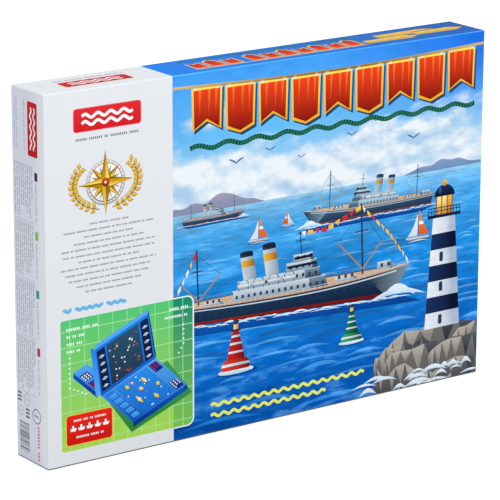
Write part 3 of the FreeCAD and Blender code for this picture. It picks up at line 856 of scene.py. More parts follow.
towerLook = {  # heights and half breadths in shares of the whole height
    "foot": 0.17, "top": 0.86, "wide": 0.135, "slim": 0.085, "bands": 7, "deck": 0.02, "lamp": 0.11,
    "white": (paint(238, 242, 246), paint(206, 216, 228), paint(172, 186, 204)),
    "navy": (paint(22, 46, 92), paint(12, 30, 66), paint(4, 14, 40)),
    "sides": ((-1, 0.15), (0.15, 0.6), (0.6, 1)),  # lit, turning and shaded side of each band
    "windows": (0.03, 0.33, 0.6), "posts": 11, "rails": (0.022, 0.042), "glazing": (-0.72, -0.24, 0.24, 0.72),
}


def lighthouse(art, x, foot, height):
    rocks(art, x, foot, height)
    wide, slim = towerLook["wide"] * height, towerLook["slim"] * height
    base, top = foot + towerLook["foot"] * height, foot + towerLook["top"] * height
    navy = towerLook["navy"]
    levels = evenly(base, top, towerLook["bands"])
    for i, (low, high) in enumerate(zip(levels, levels[1:])):
        shades = navy if i % 2 else towerLook["white"]
        reach = [wide + (slim - wide) * (z - base) / (top - base) for z in (low, high)]
        for (left, right), first, last in zip(towerLook["sides"], shades, (*shades[1:], shades[2])):
            lay(art, [(x + left * reach[0], low), (x + right * reach[0], low),
                      (x + right * reach[1], high), (x + left * reach[1], high)], first, last, 0)
    for z in (base + (top - base) * share for share in towerLook["windows"]):
        pane = roundedPlate(x - 0.03 * height, z, x - 0.002 * height, z + 0.06 * height, 0.01 * height)
        lay(art, pane, paint(36, 56, 84))
    deck = top + towerLook["deck"] * height
    lamp = deck + towerLook["lamp"] * height
    lay(art, bar(x - 1.5 * slim, top, x + 1.5 * slim, deck), navy[1])
    lay(art, bar(x - 0.72 * slim, deck, x + 0.72 * slim, lamp), paint(226, 150, 36), paint(255, 232, 150))
    lay(art, bar(x + 0.2 * slim, deck, x + 0.72 * slim, lamp), paint(190, 112, 20), paint(238, 180, 70))
    for at in (x + share * slim for share in towerLook["glazing"]):
        lay(art, bar(at - 0.45, deck, at + 0.45, lamp), paint(120, 76, 14))
    for at in evenly(x - 1.42 * slim, x + 1.42 * slim, towerLook["posts"] - 1):
        lay(art, bar(at - 0.28, deck, at + 0.28, deck + towerLook["rails"][-1] * height), navy[1])
    for z in (deck + rise * height for rise in towerLook["rails"]):
        lay(art, bar(x - 1.45 * slim, z - 0.35, x + 1.45 * slim, z + 0.35), navy[1])
    lay(art, disc(x, lamp, 0.92 * slim, 0.85 * slim, 16, 0, math.pi), navy[2], navy[0])
    shine = disc(x - 0.4 * slim, lamp + 0.4 * slim, 0.13 * slim, 0.26 * slim, 12)
    lay(art, shine, navy[0], paint(70, 104, 158))
    lay(art, disc(x, lamp + 0.95 * slim, 0.02 * height, steps=10), paint(190, 130, 30), paint(246, 200, 90))
    surf(art, x, foot, height)


def surf(art, x, foot, height):
    draw = random.Random(17)
    for _ in range(30):
        at = x + draw.uniform(-0.62, 0.5) * height
        z = foot - draw.uniform(0.06, 0.2) * height
        width = draw.uniform(0.08, 0.24) * height
        lay(art, swell(at, z, width, draw.uniform(0.02, 0.05) * height), *foam)


def gull(art, x, z, span):
    for side in (-1, 1):
        wing = [(x + side * span * share, z + span * (0.34 * math.sin(2.2 * share) - 0.12 * share))
                for share in (0, 0.12, 0.25, 0.38, 0.5)]
        lay(art, ribbon(wing, 0.1 * span, 0.55), ink(60, 84, 110), ink(96, 118, 140))
    lay(art, disc(x, z, 0.1 * span, 0.05 * span, 10), ink(84, 106, 130), ink(150, 166, 182))


bunting = {
    "count": 9, "left": -74, "right": 187, "top": 257.5, "sag": 3.2, "width": 23, "drop": 28, "edge": 1.7,
    "shadow": (ink(30, 66, 96), ink(34, 92, 150)), "shadowShift": (1.7, -1.9),
    "gold": (ink(240, 176, 30), ink(255, 224, 92)), "fold": (ink(196, 44, 20), ink(250, 120, 52)),
    "folds": (-0.62, 0.08, 0.6), "cord": (ink(120, 84, 30), ink(236, 200, 120)), "cordRise": 2.6,
}


def pennantOutline(x, top, tails, grow=0):
    half, drop = bunting["width"] / 2 + grow, bunting["drop"]
    notch = drop * 0.24 if tails else -drop * 0.16
    return [(x - half, top + grow), (x - half * 0.94, top - drop - grow), (x, top - drop + notch - grow),
            (x + half * 0.94, top - drop - grow), (x + half, top + grow)]


def buntingTop(x):
    share = (x - bunting["left"]) / (bunting["right"] - bunting["left"])
    return bunting["top"] - bunting["sag"] * math.sin(math.pi * share)


def pennants(art):
    pitch = (bunting["right"] - bunting["left"]) / bunting["count"]
    spots = [bunting["left"] + pitch * (i + 0.5) for i in range(bunting["count"])]
    half, (right, up) = bunting["width"] / 2, bunting["shadowShift"]
    for i, x in enumerate(spots):
        top = buntingTop(x)
        tails = i % 2 == 0
        edged = pennantOutline(x, top, tails, bunting["edge"])
        lay(art, [(a + right, b + up) for a, b in edged], *bunting["shadow"])
        lay(art, edged, *bunting["gold"])
        lay(art, pennantOutline(x, top, tails), *reds)
        for share in bunting["folds"]:  # soft folds of the cloth
            fold = [(x + share * half, top), (x + (share + 0.2) * half, top),
                    (x + (share + 0.06) * half, top - 0.78 * bunting["drop"])]
            lay(art, fold, *bunting["fold"])
    cord = [bunting["left"] - 14 + 6 * i for i in range(50)]
    cord = [(x, buntingTop(x) + bunting["cordRise"]) for x in cord if x < bunting["right"] + 10]
    lay(art, ribbon(cord, 2), *bunting["cord"])
    for x in spots:
        for at in (x - 0.42 * bunting["width"], x + 0.42 * bunting["width"]):
            lay(art, disc(at, buntingTop(at) + 1.6, 1.5, steps=10), white, ink(150, 120, 60))


def strandRow(art, left, right, z, rise, length, thick):  # laid rope
    path = wavePath(left, right, z, rise, length, 10)
    lay(art, ribbon(path, thick), layout["rope"])
    for x, y in path[1:-1]:
        lean = [(x - 0.9, y - thick * 0.42), (x, y), (x + 0.9, y + thick * 0.42)]
        lay(art, ribbon(lean, 0.55), layout["ropeShine"])


harbour = {  # places on the front panel, farthest first
    "hills": ((-110, -8, 15, 12, (paint(122, 138, 172), paint(164, 160, 182))),
              (118, 214, 10, 15, (paint(96, 132, 180), paint(140, 164, 200)))),
    "haze": (-100, 200, 6, (water(104, 182, 232), water(150, 204, 236))),
    "farShips": ((-54, 160, 54, 1, farShip), (92, 143, 118, -1, farShip, 0.2)),
    "sailBoats": ((-14, 138, 19, -1), (12, 146, 12, 1), (134, 116, 24, -1)),
    "nearShip": (4, 82, 214, 1, nearShip, 0.3, 0.04),
    "buoys": ((-34, 44, 40, (paint(110, 8, 10), paint(240, 66, 40), paint(214, 36, 28))),
              (72, 47, 30, (paint(0, 54, 40), paint(60, 176, 110), paint(18, 128, 84)))),
    "lighthouse": (159, 22, 126),
    "gulls": ((-34, 200, 13), (-4, 205, 9), (70, 206, 10), (128, 196, 12), (92, 214, 7), (24, 196, 7)),
    "rope": (-74, 186, 215.5, 1.5, 26, 3.6),
    "ripples": ((-56, 84, 21.5), (-56, 48, 13.5)),
}


def seaPicture(art):
    background(art)
    for place in harbour["hills"]:
        hills(art, *place)
    left, right, deep, tones = harbour["haze"]
    lay(art, bar(left, layout["horizon"] - deep, right, layout["horizon"]), *tones)
    openSea(art)
    for place in harbour["farShips"]:
        steamer(art, False, *place)
    for place in harbour["sailBoats"]:
        sailBoat(art, *place)
    steamer(art, True, *harbour["nearShip"])
    for place in harbour["buoys"]:
        buoy(art, *place)
    lighthouse(art, *harbour["lighthouse"])
    for place in harbour["gulls"]:
        gull(art, *place)
    pennants(art)
    strandRow(art, *harbour["rope"])
    for left, right, z in harbour["ripples"]:
        lay(art, ribbon(wavePath(left, right, z, 1.1, 9, 10), 2.3), layout["paleYellow"])


# White side band of the front panel

def signTag(art, left, low, right, high, tone, toneHigh):  # plain red tag with two waves
    lay(art, roundedPlate(left - 0.5, low - 0.5, right + 0.5, high + 0.5, 2.4), ink(236, 120, 124))
    lay(art, roundedPlate(left, low, right, high, 2.1), tone, toneHigh)
    wide, tall = right - left, high - low
    inset = 0.12 * wide
    for share in (0.34, 0.66):
        path = wavePath(left + inset, right - inset, low + tall * share, tall * 0.085, wide / 5.2, 10)
        lay(art, ribbon(path, tall * 0.14), white)


rose = {
    "gold": (ink(120, 84, 8), ink(214, 160, 24), ink(255, 224, 100)), "outline": ink(70, 50, 10),
    "ticks": 32, "tick": ink(110, 114, 120), "tickSpan": (0.745, 0.795),
    "points": ((8, 0.62, 0.2, math.pi / 8), (4, 0.8, 0.2, math.pi / 4),  # count, reach, waist and turn
               (4, 1.16, 0.24, 0)),
}


def compassRose(art, x, z, radius):
    def spot(angle, share):
        return (x + share * radius * math.cos(angle), z + share * radius * math.sin(angle))

    gold = rose["gold"]
    rings = ((0.86, ink(150, 154, 160), ink(206, 210, 214)), (0.8, paper), (0.74, *gold[:2]),
             (0.7, paper, white))
    for share, *tones in rings:
        lay(art, disc(x, z, share * radius, steps=48), *tones)
    for angle in (math.tau * i / rose["ticks"] for i in range(rose["ticks"])):
        lay(art, ribbon([spot(angle, share) for share in rose["tickSpan"]], 0.5), rose["tick"])
    for count, reach, waist, turn in rose["points"]:
        lay(art, star(x, z, reach * radius + 0.8, waist * radius + 0.5, count, turn), rose["outline"])
        for angle in (turn + math.pi / 2 + math.tau * i / count for i in range(count)):
            for side, bright in ((-1, 2), (1, 1)):  # a light and a dark half
                facet = [(x, z), spot(angle + side * math.pi / count, waist), spot(angle, reach)]
                lay(art, facet, gold[bright], gold[bright - 1])
    hub = ((0.17, 20, gold[0]), (0.14, 20, *reds), (0.05, 12, white))
    for share, steps, *tones in hub:
        lay(art, disc(x, z, share * radius, steps=steps), *tones)


def laurel(art, x, z, wide, tall, side):  # leafy twig curving up one side of the emblem
    def stem(turn):
        angle = side * turn - math.pi / 2
        return (x + wide * math.cos(angle), z + tall * math.sin(angle))

    lay(art, ribbon([stem(0.2 + 0.16 * i) for i in range(13)], 0.7), ink(120, 88, 14))
    for i in range(11):
        foot = Vector(stem(0.3 + 0.19 * i))
        ahead = (Vector(stem(0.4 + 0.19 * i)) - foot).normalized()
        for lean, long in ((-0.75, 6.4), (0.75, 5.4)):
            tip = foot + Vector((ahead.x * math.cos(lean) - ahead.y * math.sin(lean),
                                 ahead.x * math.sin(lean) + ahead.y * math.cos(lean))) * long
            leaf = [tuple(foot), tuple((foot + tip) / 2), tuple(tip)]
            lay(art, ribbon(leaf, 3.4, 0.9), ink(104, 72, 8))
            lay(art, ribbon(leaf, 2.6, 0.9), ink(206, 150, 16), ink(250, 214, 84))


def greekLine(art, middle, z, width, tall, tone, seed, upright=False):  # ticks in groups
    draw = random.Random(seed)
    x = middle - width / 2
    while x < middle + width / 2:
        for _ in range(draw.randint(2, 9)):
            tick = bar(x, z, x + 0.44 * tall, z + 0.8 * tall)
            lay(art, [(b, -a) for a, b in tick] if upright else tick, tone)
            x += 0.72 * tall
            if x > middle + width / 2:
                break
        x += 0.7 * tall


band = {
    "tag": (-170.5, 240.5, -115.5, 256.5, ink(214, 28, 38), ink(228, 44, 50)), "middle": -143,
    "tagLine": (234, 52, 2.2), "emblem": (-145, 202), "twig": (27, 19), "rose": 19,
    "lines": (34, 80, 44, 62, 84, 82, 54, 86, 78, 72, 58, 42),
    "top": 173.5, "pitch": 4.4, "tall": 1.5, "fill": 0.92,
    "waves": ((-181, -174), (-171, -148), (-145, -129)), "wave": ink(104, 184, 228),
}


def sideBand(art):
    lay(art, bar(lidLow.x - past, -past, bandEdge, lidHigh.z + past), layout["paperLow"], paper)
    signTag(art, *band["tag"])
    greekLine(art, band["middle"], *band["tagLine"], layout["greyText"], 5)
    for side in (-1, 1):
        laurel(art, *band["emblem"], *band["twig"], side)
    compassRose(art, *band["emblem"], band["rose"])
    for i, width in enumerate(band["lines"]):
        z = band["top"] - band["pitch"] * i
        greekLine(art, band["middle"], z, band["fill"] * width, band["tall"], layout["greyText"], 80 + i)
    for left, right in band["waves"]:
        lay(art, ribbon(wavePath(left, right, 114, 0.7, 5.2, 8), 2.6), band["wave"])


# Green panel with a drawing of an open case

caseLook = {  # measures in shares of the case's side: along its hinge, out from it and up
    "lean": -0.2, "rise": 0.55, "deep": -0.07, "red": ink(190, 30, 40),
    "blues": (ink(4, 44, 124), ink(10, 86, 192), ink(30, 128, 230), ink(86, 168, 244)),
    "shade": (ink(40, 128, 56), ink(60, 158, 84)), "sea": (ink(14, 106, 206), ink(44, 142, 230)),
    "footprint": ((-0.06, 1.05, -0.09), (1.04, 1.1, -0.09), (1.16, 0.1, -0.08), (0.1, -0.1, -0.08)),
    "ships": ((0.34, 0.62, 0.22), (0.56, 0.78, 0.16), (0.62, 0.28, 0.17), (0.36, 0.2, 0.12),
              (0.72, 0.55, 0.1), (0.48, 0.42, 0.09)),
    "hull": (ink(226, 176, 20), ink(255, 232, 80)), "hullShade": ink(4, 60, 140), "hullWidth": 0.055,
    "chart": (ink(6, 22, 58), ink(12, 36, 84)), "target": (ink(26, 50, 74), ink(40, 84, 110)),
    "silver": (ink(150, 160, 168), ink(214, 220, 224)), "hit": ink(230, 60, 40),
    "marks": (white, white, ink(220, 60, 40), ink(226, 130, 40), ink(90, 60, 120)),
}


class CaseDrawing:  # one open case, seen from a corner
    def __init__(self, art, x, z, size):
        def spot(along, out, up):
            return (x + size * (0.86 * along + 0.5 * out), z + size * (0.36 * along - 0.46 * out + up))

        self.art, self.spot, self.size = art, spot, size
        self.face = drawer(art, spot)
        self.draw = random.Random(61)

    def flat(self, low, high, outLow, outHigh, *tones):  # a field of the tray
        self.face(((low, outHigh, 0), (high, outHigh, 0), (high, outLow, 0), (low, outLow, 0)), *tones)

    def dot(self, place, radius, tone):
        lay(self.art, disc(*self.spot(*place), radius * self.size, steps=7), tone)

    def onLid(self, along, share):  # a place on the raised lid, share of the way up
        return (along, caseLook["lean"] * share, caseLook["rise"] * share)

    def behind(self):  # the shade under both cases, and the other one
        blues, deep = caseLook["blues"], caseLook["deep"]
        self.face(caseLook["footprint"], *caseLook["shade"])
        self.face(((0, -0.12, deep), (0, -0.85, deep), (0, -0.85, 0), (0, -0.12, 0)), *blues[:2])
        self.face(((0, -0.12, 0), (0, -0.85, 0), (0.25, -0.85, 0), (0.25, -0.12, 0)), *blues[2:])
        for out, tone in ((-0.5, white), (-0.24, caseLook["red"])):
            self.face(((0.02, out, 0), (0.02, out - 0.2, 0), (0.16, out - 0.2, 0), (0.16, out, 0)), blues[0])
            for i in range(9):
                self.dot((0.04 + 0.045 * (i % 3), out - 0.04 - 0.055 * (i // 3), 0), 0.013, tone)

    def tray(self):
        blues, deep = caseLook["blues"], caseLook["deep"]
        self.face(((0, 1, deep), (1, 1, deep), (1, 1, 0), (0, 1, 0)), *blues[:2])
        self.face(((1, 1, deep), (1, 0, deep), (1, 0, 0), (1, 1, 0)), blues[0])
        self.flat(0, 1, 0, 1, blues[1], blues[3])
        self.flat(0.04, 0.19, 0.05, 0.95, blues[0], blues[2])
        for out in (0.12 + 0.17 * i for i in range(5)):
            self.flat(0.055, 0.175, out, out + 0.13, *blues[2:])
        self.flat(0.22, 0.8, 0.05, 0.95, *caseLook["sea"])
        for out, tone in ((0.7, white), (0.05, caseLook["red"])):
            self.flat(0.83, 0.97, out, out + 0.25, blues[0])
            for i in range(10):
                self.dot((0.855 + 0.05 * (i % 3), out + 0.03 + 0.055 * (i // 3), 0), 0.012, tone)

    def fleet(self):
        width = caseLook["hullWidth"] * self.size
        for along, out, reach in caseLook["ships"]:
            ends = [self.spot(along, out + reach * (share - 0.5), 0) for share in (0, 0.5, 1)]
            lay(self.art, ribbon([(a + 0.5, b - 0.9) for a, b in ends], width, 0.8), caseLook["hullShade"])
            lay(self.art, ribbon(ends, width, 0.8), *caseLook["hull"])
        for i in range(26):
            place = (self.draw.uniform(0.25, 0.77), self.draw.uniform(0.08, 0.92), 0)
            self.dot(place, 0.011, white if i % 4 else caseLook["hit"])

    def lid(self):
        blues, lean, rise = caseLook["blues"], caseLook["lean"], caseLook["rise"]
        back = (lean - 0.06, rise + 0.02)
        self.face(((0, 0, 0), (-0.05, -0.08, 0), (-0.03, *back), (0.02, lean, rise)), blues[3], blues[2])
        self.face(((0, 0, 0), (1, 0, 0), (0.98, lean, rise), (0.02, lean, rise)), *blues[1:3])
        self.face(((0.02, lean, rise), (0.98, lean, rise), (1, *back), (0.04, *back)), blues[3])
        self.face(((1, 0, 0), (1.04, -0.06, 0.02), (1.02, *back), (0.98, lean, rise)), blues[0])
        for low, high, board in ((0.035, 0.18, "chart"), (0.82, 0.965, "chart"), (0.21, 0.79, "target")):
            ends = ((low, 0.07), (high, 0.07), (high, 0.94), (low, 0.94))
            self.face([self.onLid(*end) for end in ends], *caseLook[board])
        for low in (0.06, 0.845):
            for share in (0.1 + 0.18 * i for i in range(5)):
                along = (low + 0.095 * step for step in (0, 0.5, 1))
                ends = [self.spot(*self.onLid(a, 0.06 + 0.88 * share)) for a in along]
                lay(self.art, ribbon(ends, 0.045 * self.size, 0.8), *caseLook["silver"])
        for _ in range(46):
            along, share = self.draw.uniform(0.24, 0.76), self.draw.uniform(0.05, 0.95)
            self.dot(self.onLid(along, 0.06 + 0.88 * share), 0.012, self.draw.choice(caseLook["marks"]))


gamePanel = {
    "left": -183.5, "right": -72, "low": 11, "high": 107.5, "corner": 5, "leftCorner": 1.6, "grid": 11.9,
    "green": (ink(124, 196, 84), ink(10, 140, 112)), "lime": (ink(168, 216, 84), ink(84, 200, 118)),
    "upright": (ink(190, 232, 150), ink(150, 226, 170)), "level": ink(170, 230, 160), "case": (33, 36, 54),
    "leftLines": (25, 14, 12, 11), "rightLines": (15, 19), "tall": 2.3, "rim": 0.9,
    "plate": (4, 4, 42, 26), "plateCorner": 2.2, "plateRim": 0.6, "gold": ink(236, 196, 70),
    "red": (ink(206, 22, 16), ink(236, 36, 26)),
}


def panelGround(art):
    left, right, low, high, rim = (gamePanel[name] for name in ("left", "right", "low", "high", "rim"))
    edge, corner, grid = bandEdge, gamePanel["corner"], gamePanel["grid"]
    lay(art, roundedPlate(edge - 7, low - rim, right + 1.1, high + rim, corner + rim), white)
    lay(art, bar(edge - under, low - 2, edge, high + 2), layout["paperLow"], paper)
    lay(art, roundedPlate(edge - 6, low, right, high, corner), *gamePanel["green"])
    lay(art, roundedPlate(left, low, edge - 2, high, gamePanel["leftCorner"]), *gamePanel["lime"])
    lay(art, bar(edge - under, low, edge, high), *gamePanel["lime"])
    for i in range(1, int((right - left) / grid) + 1):
        x = left + grid * i - 4.2
        lay(art, bar(x - 0.3, low + 0.2, x + 0.3, high - 0.2), *gamePanel["upright"])
    for z in (low + grid * i + 5 for i in range(int((high - low) / grid) + 1)):
        if z < high:
            lay(art, bar(left + 0.2, z - 0.3, right - 0.2, z + 0.3), gamePanel["level"])


def gamePicture(art):
    panelGround(art)
    left, right, low, high = (gamePanel[name] for name in ("left", "right", "low", "high"))
    across, upward, size = gamePanel["case"]
    case = CaseDrawing(art, left + across, low + upward, size)
    for stage in (case.behind, case.tray, case.fleet, case.lid):
        stage()
    leaders = (((left + 7, high - 28), (left + 7, high - 50), (left + 24, high - 58)),
               ((right - 8, high - 20), (right - 8, high - 34), (right - 14, high - 44)))
    for path in leaders:  # dotted lines
        for start, end in zip(path, path[1:]):
            steps = int((Vector(end) - Vector(start)).length / 3.2)
            for i in range(steps):
                lay(art, disc(*Vector(start).lerp(Vector(end), i / steps), 0.7, steps=8), white)
    draw = random.Random(71)

    def line(middle, z, width, tall):
        greekLine(art, middle, z, width, tall, white, draw.randrange(999))

    for i, width in enumerate(gamePanel["leftLines"]):
        line(left + 5 + width / 2, high - 8 - 5.4 * i, width, gamePanel["tall"])
    for i, width in enumerate(gamePanel["rightLines"]):
        line(right - 5 - width / 2, high - 8 - 5.8 * i, width, gamePanel["tall"])
    plateLeft, plateLow, plateRight, plateHigh = gamePanel["plate"]
    for grow, tones in ((gamePanel["plateRim"], (gamePanel["gold"],)), (0, gamePanel["red"])):
        lay(art, roundedPlate(left + plateLeft - grow, low + plateLow - grow, left + plateRight + grow,
                              low + plateHigh + grow, gamePanel["plateCorner"] + grow), *tones)
    for x in (left + 9.5 + 6.8 * i for i in range(5)):  # a row of small ships
        deck = low + 16.2
        lay(art, [(x - 2.6, deck), (x - 2, low + 14.1), (x + 2, low + 14.1), (x + 3, deck)], white)
        lay(art, bar(x - 0.9, deck, x + 0.7, low + 18.3), white)
    for z, width in ((low + 21, 26), (low + 8.6, 22)):
        line(left + 23, z, width, 1.9)


# Side panels of the lid

topPanel = {
    "ground": (ink(22, 132, 242), ink(34, 98, 180)),
    "tag": (-168, -9, -113, 4.5, ink(196, 30, 40), ink(206, 40, 48)),
    "flags": 10, "flagFrom": 34, "pitch": 14.6, "gap": 6, "rim": 1.1, "redLow": ink(176, 34, 22),
    "cord": ink(236, 200, 120), "ships": ((118, -6, 50), (140, 5, 58), (166, -1, 46)),
    "hull": (ink(220, 172, 48), ink(238, 200, 92)), "house": (ink(196, 150, 44), ink(248, 228, 130)),
    "houses": (-0.3, -0.08, 0.14), "shade": ink(22, 74, 150),
}


def topShip(art, x, y, length):
    stern, bow = x - length / 2, x + length / 2
    hull = [(stern, y - 4.4), (x + length * 0.3, y - 5.4), (bow, y + 0.4), (x + length * 0.28, y + 5.6),
            (stern, y + 4.6)]
    lay(art, [(a + 1.2, b + 1.8) for a, b in hull], topPanel["shade"])
    lay(art, hull, *topPanel["hull"])
    for middle in (x + share * length for share in topPanel["houses"]):
        lay(art, bar(middle - 2.4, y - 2.6, middle + 2.4, y + 2.8), *topPanel["house"])


def topArt():
    art = []
    edge, rim = bandEdge, topPanel["rim"]
    lay(art, bar(edge, -30, lidHigh.x + past, 30), *topPanel["ground"], 0)
    signTag(art, *topPanel["tag"])
    greekLine(art, -140, 8.5, 56, 2.6, layout["greyText"], 21)
    flags = [edge + topPanel["flagFrom"] + topPanel["pitch"] * i + (topPanel["gap"] if i > 2 else 0)
             for i in range(topPanel["flags"])]
    for i, x in enumerate(flags):
        tip = 8 if i % 2 else 1.5
        outline = [(x - 5.4, -10), (x + 5.4, -10), (x + 4.8, 4.5), (x, tip), (x - 4.8, 4.5)]
        edged = [(a + (rim if a > x else -rim), b + (rim if b > 0 else -rim)) for a, b in outline]
        lay(art, edged, layout["yellow"])
        lay(art, outline, reds[1], topPanel["redLow"])
    lay(art, bar(flags[0] - 8, -13.2, flags[-1] + 8, -12), topPanel["cord"])
    strandRow(art, flags[0] - 6, flags[-1] + 8, 13.6, 0.7, 18, 2.4)
    for place in topPanel["ships"]:
        topShip(art, *place)
    return art


sidePanel = {
    "foldShade": 4,  # from here on the side is painted lighter towards the front fold, as light falling round it
    "tag": (0.5, 224, 13, 262.5), "tagTones": (ink(196, 28, 36), ink(206, 34, 42)), "tagWaves": (4.7, 8.9),
    "tagLines": ((-17.2, ink(150, 184, 222)), (-14.6, ink(150, 184, 222)), (-4.6, ink(206, 150, 172))),
    "blocks": ((217, ink(84, 30, 92)), (175, ink(150, 196, 70)), (133, ink(44, 150, 140)),
               (91, ink(200, 44, 76))),
    "text": ink(152, 157, 168), "rule": ink(186, 190, 200), "tall": 1.55, "lines": 9, "linePitch": 2.75,
    "pink": ink(214, 120, 168), "dark": ink(122, 124, 132), "pale": ink(184, 188, 198),
    "bars": {"left": -16.5, "right": -3.6, "low": 6, "high": 28},
    "rings": ((-14.8, 35.4, 3.5, "pale"), (-6.2, 45.2, 4.2, "pale"), (6.4, 36.2, 5.2, "dark")),
    "stacks": ((-16, 45.8), (-5.6, 35.4)), "stackPitch": 2.7,
}


def plainMarks(art):  # bars, rings and short stacks of bars near the foot of the narrow side
    draw = random.Random(33)
    bars = sidePanel["bars"]
    z = bars["low"]
    while z < bars["high"]:
        thick = draw.choice((0.35, 0.35, 0.7, 1.1))
        lay(art, bar(bars["left"], z, bars["right"], z + thick), sidePanel["dark"])
        z += thick + draw.choice((0.4, 0.4, 0.8))
    for x, z, radius, tone in sidePanel["rings"]:
        ring = disc(x, z, radius, steps=24, sweep=0.99 * math.tau)
        lay(art, ribbon(ring, 0.16 * radius), sidePanel[tone])
        wave = wavePath(x - 0.6 * radius, x + 0.6 * radius, z, 0.18 * radius, 0.6 * radius)
        lay(art, ribbon(wave, 0.14 * radius), sidePanel[tone])
    for x, z in sidePanel["stacks"]:
        for middle in (z + sidePanel["stackPitch"] * step for step in (-1, 0, 1)):
            lay(art, bar(x - 2.5, middle - 0.8, x + 2.5, middle + 0.8), sidePanel["dark"])


def leftArt():  # drawn across from the back rim to the front fold
    art = []

    def line(middle, x, length, tall, tone, seed):  # ticks that run downwards
        greekLine(art, -middle, x, length, tall, tone, seed, True)

    # painted light: the side's ground grows lighter towards the front fold
    fold = bar(sidePanel["foldShade"], -past, -lidLow.y, lidHigh.z + past)
    lay(art, fold, paperSide, layout["paperFold"], 0)
    low = sidePanel["tag"][1]
    lay(art, roundedPlate(*sidePanel["tag"], 1.6), *sidePanel["tagTones"])
    for x in sidePanel["tagWaves"]:
        path = [(x + math.sin((z - low) / 7.6 * math.tau), z) for z in (low + 4.5 + k for k in range(31))]
        lay(art, ribbon(path, 1.5), white)
    for x, tone in sidePanel["tagLines"]:
        line(245, x, 36, 1.5, tone, int(20 - x))
    draw = random.Random(91)
    tall, text, count = sidePanel["tall"], sidePanel["text"], sidePanel["lines"]
    for top, tone in sidePanel["blocks"]:  # blocks of ticks, each with a colour chip
        lay(art, bar(8.6, top - 9.5, 12.4, top - 3.5), tone)
        lay(art, bar(-18, top - 40.4, 8, top - 40), sidePanel["rule"])
        for row in range(count):
            length = 38 if row < count - 1 else 26
            length -= draw.choice((0, 0, 3, 9))
            x = sidePanel["linePitch"] * row - 17.6
            line(top - length / 2, x, length, tall, text, draw.randrange(999))
        line(top - 25, 9.6, 26, tall, text, draw.randrange(999))
    plainMarks(art)
    line(17, 7.4, 24, 3.3, sidePanel["pink"], 7)
    return art


def frontArt():
    art = []
    for stage in (seaPicture, sideBand, gamePicture):
        stage(art)
    return art


# Carton lid: wrapped board, open at the back, with soft folds and a turned-in rim

lidBuild = {"foldRadius": 1.2, "foldSteps": 6, "stock": 1.5, "innerRadius": 0.5, "rimRound": 0.45,
            "sharp": 0.8}


def openCarton(bm, low, high, radius, slot):
    verts = bmesh.ops.create_cube(bm, size=2)["verts"]
    for vert in verts:
        vert.co = [high[k] if vert.co[k] > 0 else low[k] for k in range(3)]
    faces = list({face for vert in verts for face in vert.link_faces})
    for face in faces:
        face.material_index = slot
        face.smooth = True
    mouth = max(faces, key=lambda face: face.calc_center_median().y)
    bmesh.ops.delete(bm, geom=[mouth], context="FACES_ONLY")
    folds = list({edge for vert in verts for edge in vert.link_edges if len(edge.link_faces) == 2})
    folds.sort(key=lambda edge: tuple((edge.verts[0].co + edge.verts[1].co)[:]))
    bmesh.ops.bevel(bm, geom=folds, offset=radius, segments=lidBuild["foldSteps"], profile=0.5,
                    affect="EDGES", material=slot)


def joinRims(bm, middle):  # the wrap turns over the rim, from the outer wall to the inner one
    rims = [[], []]
    for vert in bm.verts:
        if vert.is_boundary:
            rims[vert.link_faces[0].material_index].append(vert)
    for rim in rims:
        rim.sort(key=lambda vert: math.atan2(vert.co.z - middle.z, vert.co.x - middle.x))
    skin(bm, rims)


def roundRim(bm, back):
    rim = [edge for edge in bm.edges
           if len(edge.link_faces) == 2 and edge.calc_face_angle() > lidBuild["sharp"]
           and all(abs(vert.co.y - back) < touch for vert in edge.verts)]
    bmesh.ops.bevel(bm, geom=rim, offset=lidBuild["rimRound"], segments=2, profile=0.5, affect="EDGES")


def splitAt(bm, faces, spot, normal):
    parts = {part for face in faces for part in (face, *face.edges, *face.verts)}
    order = {part: i for i, part in enumerate([*bm.verts, *bm.edges, *bm.faces])}
    geom = sorted(parts, key=order.get)
    bmesh.ops.bisect_plane(bm, geom=geom, dist=touch / 10, plane_co=spot, plane_no=normal)


def outerFaces(bm, axis, place):
    return [face for face in bm.faces if all(abs(vert.co[axis] - place) < touch for vert in face.verts)]


def wrapInk(x, z):  # plain ground of the wrap where it turns round the folds
    return paper if x < bandEdge else pictureInk(x, z)


def foldCrest(spot):  # 1 along the middle of a fold, 0 where it runs into a panel or the lid stands
    radius = lidBuild["foldRadius"]
    if spot.z < radius:
        return 0
    out = [max(lidLow[k] + radius - spot[k], spot[k] - lidHigh[k] + radius, 0) / radius for k in range(3)]
    out[1] = max(lidLow.y + radius - spot.y, 0) / radius
    return min(2 * sorted(out)[1] ** 2, 1)


def lidShell():
    low, high = lidLow, lidHigh
    stock = lidBuild["stock"]
    bm = bmesh.new()
    openCarton(bm, low, high, lidBuild["foldRadius"], 0)
    inner = (low + Vector((stock, stock, stock)), Vector((high.x - stock, high.y, high.z - stock)))
    openCarton(bm, *inner, lidBuild["innerRadius"], 1)
    joinRims(bm, (low + high) / 2)
    bmesh.ops.recalc_face_normals(bm, faces=bm.faces[:])
    roundRim(bm, high.y)
    splitAt(bm, bm.faces[:], (bandEdge, 0, 0), (1, 0, 0))
    inFrom = high.x - lidBuild["foldRadius"] - 0.01
    for level, _ in layout["picture"][1:-1]:
        rightSide = [face for face in bm.faces if face.material_index == 0
                     and min(vert.co.x for vert in face.verts) > inFrom]
        splitAt(bm, rightSide, (0, 0, level), (0, 0, 1))
    return bm


